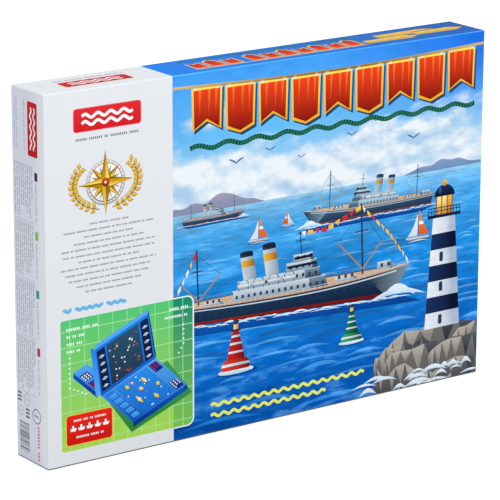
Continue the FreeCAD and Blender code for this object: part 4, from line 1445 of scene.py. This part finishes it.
def groundInk(bm, inkLayer, foldLayer):
    edge = bandEdge
    for vert in bm.verts:
        vert[foldLayer] = foldCrest(vert.co)
    for face in bm.faces:
        inPicture = face.calc_center_median().x > edge
        soiled = -0.95 < face.normal.z < -0.05  # the lowest fold, painted dark grey: shade where the lid stands on the floor
        for corner in face.loops:
            spot = corner.vert.co
            x = max(spot.x, edge + 0.5) if inPicture else min(spot.x, edge - 0.5)
            corner[inkLayer] = layout["soiled"] if soiled else wrapInk(x, spot.z)
        if face.material_index == 1:
            for vert in face.verts:
                vert[foldLayer] = 0


def cartonLid():
    low, high = lidLow, lidHigh
    bm = lidShell()
    inkLayer = bm.loops.layers.float_color.new("ink")
    groundInk(bm, inkLayer, bm.verts.layers.float.new("fold"))
    panels = ((1, low.y, lambda co: (co.x, co.z), lambda p: (p[0], low.y, p[1]), frontArt(), paper),
              (2, high.z, lambda co: (co.x, co.y), lambda p: (p[0], p[1], high.z), topArt(), paper),
              (0, low.x, lambda co: (-co.y, co.z), lambda p: (low.x, -p[0], p[1]), leftArt(), paperSide))
    for axis, place, toPanel, toSpace, art, ground in panels:
        paintPanel(bm, outerFaces(bm, axis, place), toPanel, toSpace, art, ground, inkLayer)
        print("panel:", len(art), "shapes")
    materials = (finished("printedWrap", wrapLook, wrapColor), boardMaterial)
    lid = asPiece(bm, "printedLid", "carton_lid", materials, "carton_lid")
    print("lid:", len(lid.data.polygons), "faces")


boardMaterial = finished("plainBoard", boardLook, boardColor)
cartonLid()


# Moulded plastics and printed boards inside

mouldLook = {"fine": 900, "broad": 34, "mottle": 0.06, "dust": 0.05, "bump": 0.18, "bumpDepth": 0.0002}
plastics = {  # colour and roughness
    "blue": (ink(24, 104, 214), 0.32), "yellow": (ink(250, 206, 42), 0.3), "white": (ink(240, 241, 240), 0.3),
    "red": (ink(216, 40, 34), 0.3),
}
seaBoardLook = {**mouldLook, "roughness": 0.36, "coat": 0.1, "deep": ink(26, 116, 222),
                "pale": ink(52, 148, 238), "line": ink(150, 206, 250)}
targetBoardLook = {**mouldLook, "roughness": 0.4, "specular": 0.45, "night": ink(12, 28, 52),
                   "sea": ink(34, 88, 112), "warm": ink(176, 78, 34), "border": ink(10, 22, 44),
                   "line": ink(96, 140, 168)}
rulesLook = {**boardLook, "color": ink(240, 239, 234), "mottle": 0.05, "text": ink(110, 116, 124),
             "row": 5.2 * mm}
socket = {"radius": 1.5, "ease": 0.35, "deep": 3.2, "sides": 16, "pitch": 13.5, "cells": 10, "line": 0.028}


def mouldedPlastic(name):
    color, roughness = plastics[name]
    return finished(f"{name}Plastic", {**mouldLook, "roughness": roughness, "coat": 0.15}, color)


def gridMask(shader):
    low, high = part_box("left_sea_board")
    middle = (low + high) / 2
    values = {"Middle X": abs(middle.x), "Middle Z": middle.z, "Pitch": socket["pitch"] * mm,
              "Width": socket["line"], "Cells": socket["cells"]}
    return shader.group(cellLines, **values)


def seaBoardColor(shader):
    waves = shader.spread(shader.noise(38, 3, 0.5), 0.35, 0.7)
    ground = shader.mix(waves, seaBoardLook["deep"], seaBoardLook["pale"])
    return shader.mix(gridMask(shader)["Line"], ground, seaBoardLook["line"])


def targetBoardColor(shader):  # dark chart print: night sea with warm and cool patches
    look = targetBoardLook
    patches = shader.spread(shader.noise(34, 5, 0.6), 0.4, 0.62)
    warm = shader.spread(shader.noise(19, 5, 0.62), 0.56, 0.68, 0, 0.85)
    lit = shader.mix(warm, shader.mix(patches, look["night"], look["sea"]), look["warm"])
    grid = gridMask(shader)
    framed = shader.mix(grid["Inside"], look["border"], lit)
    return shader.mix(grid["Line"], framed, look["line"])


def rulesColor(shader):  # rows of grey specks
    row = shader.math("FRACT", shader.math("DIVIDE", shader.split(shader.place())["Z"], rulesLook["row"]))
    inRow = shader.math("LESS_THAN", row, 0.36)
    words = shader.math("GREATER_THAN", shader.noise(190, 2), 0.44)
    specks = shader.times(shader.times(inRow, words), 0.6)
    return shader.mix(specks, rulesLook["color"], rulesLook["text"])


def dress(material, *names):
    for name in names:
        nodes[name].data.materials.clear()
        nodes[name].data.materials.append(material)


dress(boardMaterial, "carton_base", "folded_channel")
dress(finished("rulesPaper", rulesLook, rulesColor), "rules_leaflet")
finishes = {name: mouldedPlastic(name) for name in plastics}
seaFinish = finished("seaBoard", seaBoardLook, seaBoardColor)
targetFinish = finished("targetBoard", targetBoardLook, targetBoardColor)
for side in ("left", "right"):
    dress(finishes["blue"], *(f"{side}_{piece}" for piece in ("case_base", "case_lid", "hinge_pins")))
print("plastics done")


# Peg boards, fleet and pegs: moulded pieces with round sockets

def pieceName(node):
    first, *others = node.split("_")
    return first + "".join(word.capitalize() for word in others)


def moulded(bm, name, body, material, node=None):
    bmesh.ops.recalc_face_normals(bm, faces=bm.faces[:])
    for face in bm.faces:
        face.smooth = True
    piece = asPiece(bm, name, body, [material], node)
    piece.data.set_sharp_from_angle(angle=math.radians(32))


def turned(bm, profile, spot, sides=14):  # round solid; spot places a point from its two offsets and its rise
    rings = [[bm.verts.new(spot(a, b, rise)) for a, b in disc(0, 0, radius, steps=sides)]
             for radius, rise in profile]
    skin(bm, rings)
    bm.faces.new(rings[0])
    bm.faces.new(rings[-1])


def easedBlock(bm, spot, low, high, ease):
    verts = bmesh.ops.create_cube(bm, size=2)["verts"]
    for vert in verts:
        vert.co = spot(*(high[k] if vert.co[k] > 0 else low[k] for k in range(3)))
    edges = list(dict.fromkeys(edge for vert in verts for edge in vert.link_edges))
    bmesh.ops.bevel(bm, geom=edges, offset=ease, segments=2, profile=0.5, affect="EDGES")


def pierced(bm, rim, flatRim, centres, spot):  # face inside a rim, with blind round sockets sunk into it
    sides, mouth = socket["sides"], socket["radius"] + socket["ease"]
    outlines = [flatRim] + [disc(x, y, mouth, steps=sides) for x, y in centres]
    flat, cells, cameFrom, loops = cutAlong(outlines, touch / 10)
    verts = [rim[source[0]] if source[0] < len(rim) else bm.verts.new(spot(place, 0))
             for place, source in zip(flat, cameFrom)]
    known = {source[0]: vert for source, vert in zip(cameFrom, verts)}
    for cell, over in cells:
        if over == [0]:
            bm.faces.new([verts[i] for i in cell])
    for loop, (x, y) in zip(loops[1:], centres):
        rings = [[known[i] for i in loop]]
        for deep in (socket["ease"], socket["deep"]):
            ring = disc(x, y, socket["radius"], steps=sides)
            rings.append([bm.verts.new(spot(point, deep)) for point in ring])
        skin(bm, rings)
        bm.faces.new(rings[-1])


def centredRow(count):  # places of sockets along a row, from its middle
    return [socket["pitch"] * (i - (count - 1) / 2) for i in range(count)]


pegBoardBuild = {"ease": 0.4, "corner": 1.2}


def pegBoard(side, kind, body, material):
    node = f"{side}_{kind}_board"
    low, high = boxInMm(node)
    face, inward = (low.y, 1) if kind == "sea" else (high.y, -1)

    def spot(point, deep):
        return (point[0], face + inward * deep, point[1])

    bm = bmesh.new()
    ease, corner = pegBoardBuild["ease"], pegBoardBuild["corner"]
    outlines = [roundedPlate(low.x + inset, low.z + inset, high.x - inset, high.z - inset, corner)
                for inset in (ease, 0, 0)]
    rings = [[bm.verts.new(spot(point, deep)) for point in outline]
             for outline, deep in zip(outlines, (0, ease, high.y - low.y))]
    skin(bm, rings)
    bm.faces.new(rings[-1])
    middle = (low + high) / 2
    row = centredRow(socket["cells"])
    pierced(bm, rings[0], outlines[0], [(middle.x + a, middle.z + b) for a in row for b in row], spot)
    moulded(bm, pieceName(node), body, material, node)


fleetBuild = {
    "beam": 8.8, "bow": 6, "stern": 2.4, "transom": 5, "leastBreadth": 0.15,
    "deck": 4.2, "rail": 0.4, "sheer": 0.5, "stem": 2.9, "roof": 6.8,
    "fleet": {"carrier": ("gun", "bridge", "funnels", "gun"), "battleship": ("gun", "bridge", "gun"),
              "cruiser": ("bridge", "gun"), "destroyer": ("bridge",), "patrol": ()},
}


def hullBreadth(a, reach):  # half the breadth at a place between stern and bow
    half = fleetBuild["beam"] / 2
    toBow = (a - reach) / fleetBuild["bow"] + 1
    toStern = (-a - reach) / fleetBuild["stern"] + 1
    if toBow > 0:
        return max(half * (1 - toBow ** 1.8), fleetBuild["leastBreadth"])
    return half - (half - fleetBuild["transom"] / 2) * max(toStern, 0) ** 2


def hullSection(a, reach):
    half = hullBreadth(a, reach)
    deck = fleetBuild["deck"]
    top = deck + fleetBuild["rail"] + fleetBuild["sheer"] * max(a / reach, 0) ** 3
    side = [(0.82, 0), (0.96, 1.4), (1, top - 0.35), (0.95, top), (0.86, top), (0.86, deck)]
    across = [(half * share, rise) for share, rise in side]
    return [(-b, rise) for b, rise in across] + across[::-1]


def bridgeHouse(bm, spot, foot, roof):
    easedBlock(bm, spot, (-3.1, -2.4, foot), (3.1, 2.4, foot + 1.4), 0.4)
    easedBlock(bm, spot, (-1.7, -1.7, foot + 1.2), (2.1, 1.7, roof - 0.5), 0.35)
    turned(bm, ((0.6, roof - 0.7), (0.5, roof - 0.1), (0.3, roof)), spot, 10)


def funnelPair(bm, spot, foot, roof):
    easedBlock(bm, spot, (-3.1, -2.2, foot), (3.1, 2.2, foot + 1), 0.35)
    profile = ((1.15, foot + 0.8), (1, roof - 0.3), (1.15, roof - 0.25), (1.15, roof), (0.75, roof),
               (0.7, roof - 0.6))
    for at in (-1.5, 1.5):
        turned(bm, profile, lambda a, b, rise: spot(a + at, b, rise))


def gunTurret(bm, spot, foot, roof, way):
    turned(bm, ((2.1, foot), (2.1, foot + 0.6), (1.9, foot + 0.8)), spot, 18)
    easedBlock(bm, spot, (-1.6, -1.5, foot + 0.6), (1.6, 1.5, roof - 0.8), 0.4)
    for b in (-0.65, 0.65):
        turned(bm, ((0.34, 1.2), (0.3, 3.6), (0.36, 3.7), (0.36, 4)),
               lambda a, up, out: spot(way * out, b + a, foot + 1.25 + up), 10)


def deckTop(bm, kind, way, spot):  # what stands between two sockets; spot starts from the middle of the gap
    levels = (fleetBuild["deck"] - 0.1, fleetBuild["roof"])
    if kind == "bridge":
        bridgeHouse(bm, spot, *levels)
    elif kind == "funnels":
        funnelPair(bm, spot, *levels)
    else:
        gunTurret(bm, spot, *levels, way)


def toyHull(bm, reach, holes, spot):
    stern, bow, deck = (fleetBuild[name] for name in ("stern", "bow", "deck"))
    stations = evenly(-reach, stern - reach, 3) + evenly(reach - bow, reach, 7)
    sections = [hullSection(a, reach) for a in stations]
    rings = [[bm.verts.new(spot(a, b, rise)) for b, rise in section]
             for a, section in zip(stations, sections)]
    inner = len(sections[0]) // 2 - 1  # point of a section where the deck starts
    skin(bm, rings, inner)
    bm.faces.new(rings[0])
    bm.faces.new(rings[-1])
    rim = [ring[inner] for ring in rings] + [ring[inner + 1] for ring in reversed(rings)]
    flatRim = [(a, section[inner][0]) for a, section in zip(stations, sections)]
    flatRim += [(a, -b) for a, b in reversed(flatRim)]
    pierced(bm, rim, flatRim, [(a, 0) for a in holes], lambda point, deep: spot(*point, deck - deep))


def toyShip(side, node, tops):
    low, high = boxInMm(node)
    middle, size = (low + high) / 2, high - low
    upright = size.z > size.x
    way = -1 if side == "left" else 1  # each player's bows point towards their own tray
    face = boxInMm(f"{side}_sea_board")[0].y

    def spot(a, b, rise):
        x, z = (b, way * a) if upright else (way * a, b)
        return (middle.x + x, face - rise, middle.z + z)

    bm = bmesh.new()
    holes = centredRow(len(tops) + 1)
    toyHull(bm, max(size.x, size.z) / 2, holes, spot)
    stem = fleetBuild["stem"]
    for end in sorted({holes[0], holes[-1]}):
        turned(bm, ((1.1, -stem), (1.4, 0.4 - stem), (1.4, 0.05)), lambda a, b, rise: spot(end + a, b, rise))
    for i, kind in enumerate(tops):
        gap = (holes[i] + holes[i + 1]) / 2
        deckTop(bm, kind, 1 if i else -1, lambda a, b, rise: spot(gap + a, b, rise))
    moulded(bm, pieceName(node), f"{side}_case", finishes["yellow"], node)


peg = {
    "stem": 2.9, "sides": 12, "looseSides": 10,
    "profile": ((0.9, -2.9), (1.3, -2.5), (1.3, 0), (2.25, 0), (2.4, 0.2), (2.4, 1.9), (2.15, 2.9),
                (1.5, 3.3), (0.6, 3.4)),
}


def solidBoxes(node):  # corners of each separate solid of a node
    bm = bmesh.new()
    bm.from_mesh(nodes[node].data)
    bmesh.ops.remove_doubles(bm, verts=bm.verts[:], dist=touch * mm * 10)
    seen, boxes = set(), []
    for start in bm.verts:
        if start in seen:
            continue
        group, waiting = [], [start]
        while waiting:
            vert = waiting.pop()
            if vert not in seen:
                seen.add(vert)
                group.append(vert.co / mm)
                waiting += [edge.other_vert(vert) for edge in vert.link_edges]
        boxes.append([Vector(pick(co[k] for co in group) for k in range(3)) for pick in (min, max)])
    bm.free()
    return boxes


def standingPegs(side, board, tone, body):
    node = f"{side}_{board}_{tone}_pegs"
    bm = bmesh.new()
    for low, high in solidBoxes(node):
        middle = (low + high) / 2
        seat, out = (high.y - peg["stem"], -1) if board == "sea" else (low.y + peg["stem"], 1)
        turned(bm, peg["profile"], lambda a, b, rise: (middle.x + a, seat + out * rise, middle.z + b),
               peg["sides"])
    moulded(bm, pieceName(node), body, finishes[tone], node)


bays = {opening["name"]: [Vector(corner) / mm for corner in opening["box_m"]]
        for opening in frame["record"]["physics"]["openings"]}
heap = {
    "step": 7.3, "row": 5.4, "rise": 4.4, "inset": 3.6, "slope": 4, "turn": 0.3, "lean": 0.2,
    "gap": 0.2, "slip": 0.3,
    "shelf": {"left": 16.6, "right": 10.2},  # depth of the wall that the pegs of each case lie on
    "layers": {"left": (1, 0.8, 0.45), "right": (1, 0.6)},  # share of the places taken, layer by layer
}


def loosePegs(side, tone, seed):  # spare pegs lying on the lower wall of their bay
    low, high = bays[f"{side}_{tone}_peg_bay"]
    draw = random.Random(seed)
    bm = bmesh.new()
    radius = max(width for width, _ in peg["profile"])
    lying = {}
    for layer, share in enumerate(heap["layers"][side]):
        inset = heap["inset"] + heap["slope"] * layer
        for row in range(int(heap["shelf"][side] / heap["row"])):
            below = lying.get(row)
            lying[row] = []
            x = low.x + inset + heap["step"] / 2 * ((layer + row) % 2)
            while x < high.x - inset:
                turn = draw.uniform(-1, 1) * heap["turn"] + draw.choice((0, math.pi))
                lean = heap["lean"] * draw.uniform(0.6, 1)
                along = Vector((math.cos(turn), math.sin(turn), lean)).normalized()
                across = along.cross((0, 0, 1)).normalized()
                middle = Vector((x + draw.uniform(-1, 1) * heap["slip"],
                                 high.y - radius - heap["gap"] - heap["row"] * row,
                                 low.z + radius + heap["rise"] * layer))
                held = below is None or sum(abs(x - other) < 0.75 * heap["step"] for other in below) == 2
                if draw.random() < share and held:
                    lying[row].append(x)
                    turned(bm, peg["profile"], lambda a, b, rise: (
                        middle + across * a + across.cross(along) * b + along * (rise - 0.3)),
                        peg["looseSides"])
                x += heap["step"]
    moulded(bm, f"{side}Loose{tone.capitalize()}Pegs", f"{side}_case", finishes[tone])


for side in ("left", "right"):
    base, lid = f"{side}_case", f"{side}_case_lid"
    pegBoard(side, "sea", base, seaFinish)
    pegBoard(side, "target", lid, targetFinish)
    for node in sorted(nodes):
        for kind, tops in fleetBuild["fleet"].items():
            if node.startswith(f"{side}_{kind}"):
                toyShip(side, node, tops)
    for tone in ("white", "red"):
        standingPegs(side, "sea", tone, base)
        standingPegs(side, "target", tone, lid)
        loosePegs(side, tone, len(side) + len(tone))
    print(side, "boards, fleet and pegs done")


# Ship charts beside the target boards

chartLook = {
    **mouldLook, "roughness": 0.5, "specular": 0.45, "broad": 30, "dust": 0.03, "bump": 0.15,
    "ships": 5, "longest": 37, "shorten": 0.125, "beam": 9, "hole": 1.7,
    "ground": ink(8, 24, 60), "silver": (ink(170, 180, 188), ink(224, 229, 232)),
}


def cardSpan(ring, x):  # lowest and highest place of the card's outline along one line across it
    spots = []
    for (startZ, startX), (endZ, endX) in zip(ring, ring[1:] + ring[:1]):
        if (startX < x) != (endX < x):
            spots.append(startZ + (endZ - startZ) * (x - startX) / (endX - startX))
    return min(spots), max(spots)


def chartArt(ring):
    art = []
    beam, count = chartLook["beam"], chartLook["ships"]
    near, far = (pick((x for _, x in ring), key=abs) for pick in (min, max))  # from the hinge outwards
    for i in range(count):
        x = near + (far - near) * (i + 0.5) / count
        z = sum(cardSpan(ring, x + math.copysign(beam / 2, x))) / 2
        reach = chartLook["longest"] / 2 * (1 - chartLook["shorten"] * i)
        hull = [(z + share * reach, x) for share in (-1, -0.4, 0, 0.4, 1)]
        lay(art, ribbon(hull, beam, 0.75), *chartLook["silver"], 0)
        for share in (-0.45, 0, 0.45):
            lay(art, disc(z + share * reach, x, chartLook["hole"], steps=10), chartLook["ground"])
    return art


def shipChart(side, number, material):
    node = f"{side}_chart_{number}"
    low, high = boxInMm(node)
    outline = sorted({(round(v.co.z / mm, 3), round(v.co.x / mm, 3)) for v in nodes[node].data.vertices})
    ring = counterClockwise([outline[i] for i in convex_hull_2d([Vector(spot) for spot in outline])])
    bm = bmesh.new()
    rings = [[bm.verts.new((x, y, z)) for z, x in ring] for y in (high.y, low.y)]
    skin(bm, rings)
    for edge in rings:
        bm.faces.new(edge)
    bmesh.ops.recalc_face_normals(bm, faces=bm.faces[:])
    inkLayer = bm.loops.layers.float_color.new("ink")
    for face in bm.faces:
        for corner in face.loops:
            corner[inkLayer] = chartLook["ground"]
    paintPanel(bm, outerFaces(bm, 1, high.y), lambda co: (co.z, co.x), lambda p: (p[1], high.y, p[0]),
               chartArt(ring), chartLook["ground"], inkLayer)
    asPiece(bm, f"{side}ShipChart{number}", f"{side}_case_lid", [material], node)


chartMaterial = finished("chartCard", chartLook, lambda shader: shader.printed("ink")["Color"])
for side in ("left", "right"):
    for number in (1, 2):
        shipChart(side, number, chartMaterial)
print("charts done")


# Studio: pale floor, soft light and the camera

studio = {"floor": ink(236, 236, 237), "floorSize": 12, "floorCells": 8, "floorGlow": 0.5, "roughness": 0.9,
          "specular": 0.1, "world": 0.58, "aim": (0, 0, 0.13)}
lamps = {
    "keyLight": {"place": (0.9, -2.6, 2.2), "size": 2.2, "power": 48},
    "fillLight": {"place": (-2.6, -1.6, 1.5), "size": 2.4, "power": 7},
    "topLight": {"place": (0, 0.6, 3), "size": 2.6, "power": 20},
}
view = {"azimuth": -35.66, "elevation": 15.75, "roll": 0.21, "focal": 2960, "frame": 500, "distance": 2.165,
        "target": (-0.0066, 0, 0.126), "sensor": 36, "clipEnd": 50}


def floorSheet():
    bm = bmesh.new()
    cells = studio["floorCells"]
    bmesh.ops.create_grid(bm, x_segments=cells, y_segments=cells, size=studio["floorSize"] / 2)
    material, shader, surface = newMaterial("paleFloor", studio)
    surface.inputs["Base Color"].default_value = studio["floor"]
    surface.inputs["Emission Color"].default_value = plainWhite
    rays = shader.add("ShaderNodeLightPath").outputs
    seen = shader.math("MAXIMUM", rays["Is Glossy Ray"], rays["Is Transmission Ray"])
    seen = shader.math("MAXIMUM", rays["Is Camera Ray"], seen)
    shader.link(shader.times(seen, studio["floorGlow"]), surface.inputs["Emission Strength"])
    meshObject(bm, "floorSheet", material)


def light(name, lamp):
    data = bpy.data.lights.new(name, "AREA")
    data.energy = lamp["power"]
    data.size = lamp["size"]
    thing = bpy.data.objects.new(name, data)
    thing.location = lamp["place"]
    toObject = Vector(studio["aim"]) - thing.location
    thing.rotation_euler = toObject.to_track_quat("-Z", "Y").to_euler()
    scene.collection.objects.link(thing)


def softWorld():
    world = bpy.data.worlds.new("softWorld")
    scene.world = world
    world.use_nodes = True
    shader = Shader(world.node_tree)
    backdrop = world.node_tree.nodes["Background"]
    rays = shader.add("ShaderNodeLightPath").outputs
    shader.link(shader.spread(rays["Is Camera Ray"], 0, 1, studio["world"], 1), backdrop.inputs["Strength"])
    backdrop.inputs["Color"].default_value = plainWhite


def camera():
    turn, lift = math.radians(view["azimuth"]), math.radians(view["elevation"])
    back = Vector((math.sin(turn) * math.cos(lift), -math.cos(turn) * math.cos(lift), math.sin(lift)))
    across = Vector((math.cos(turn), math.sin(turn), 0))
    axes = Matrix((across, back.cross(across), back)).transposed()
    data = bpy.data.cameras.new("photoCamera")
    data.sensor_width = view["sensor"]
    data.lens = data.sensor_width * view["focal"] / view["frame"]
    data.clip_end = view["clipEnd"]
    thing = bpy.data.objects.new("photoCamera", data)
    roll = Matrix.Rotation(math.radians(view["roll"]), 3, "Z")
    place = Matrix.Translation(Vector(view["target"]) + back * view["distance"])
    thing.matrix_world = place @ (axes @ roll).to_4x4()
    scene.collection.objects.link(thing)
    scene.camera = thing


floorSheet()
for name, lamp in lamps.items():
    light(name, lamp)
softWorld()
camera()
scene.view_settings.view_transform = "Standard"
print("studio done")

bpy.context.view_layer.update()
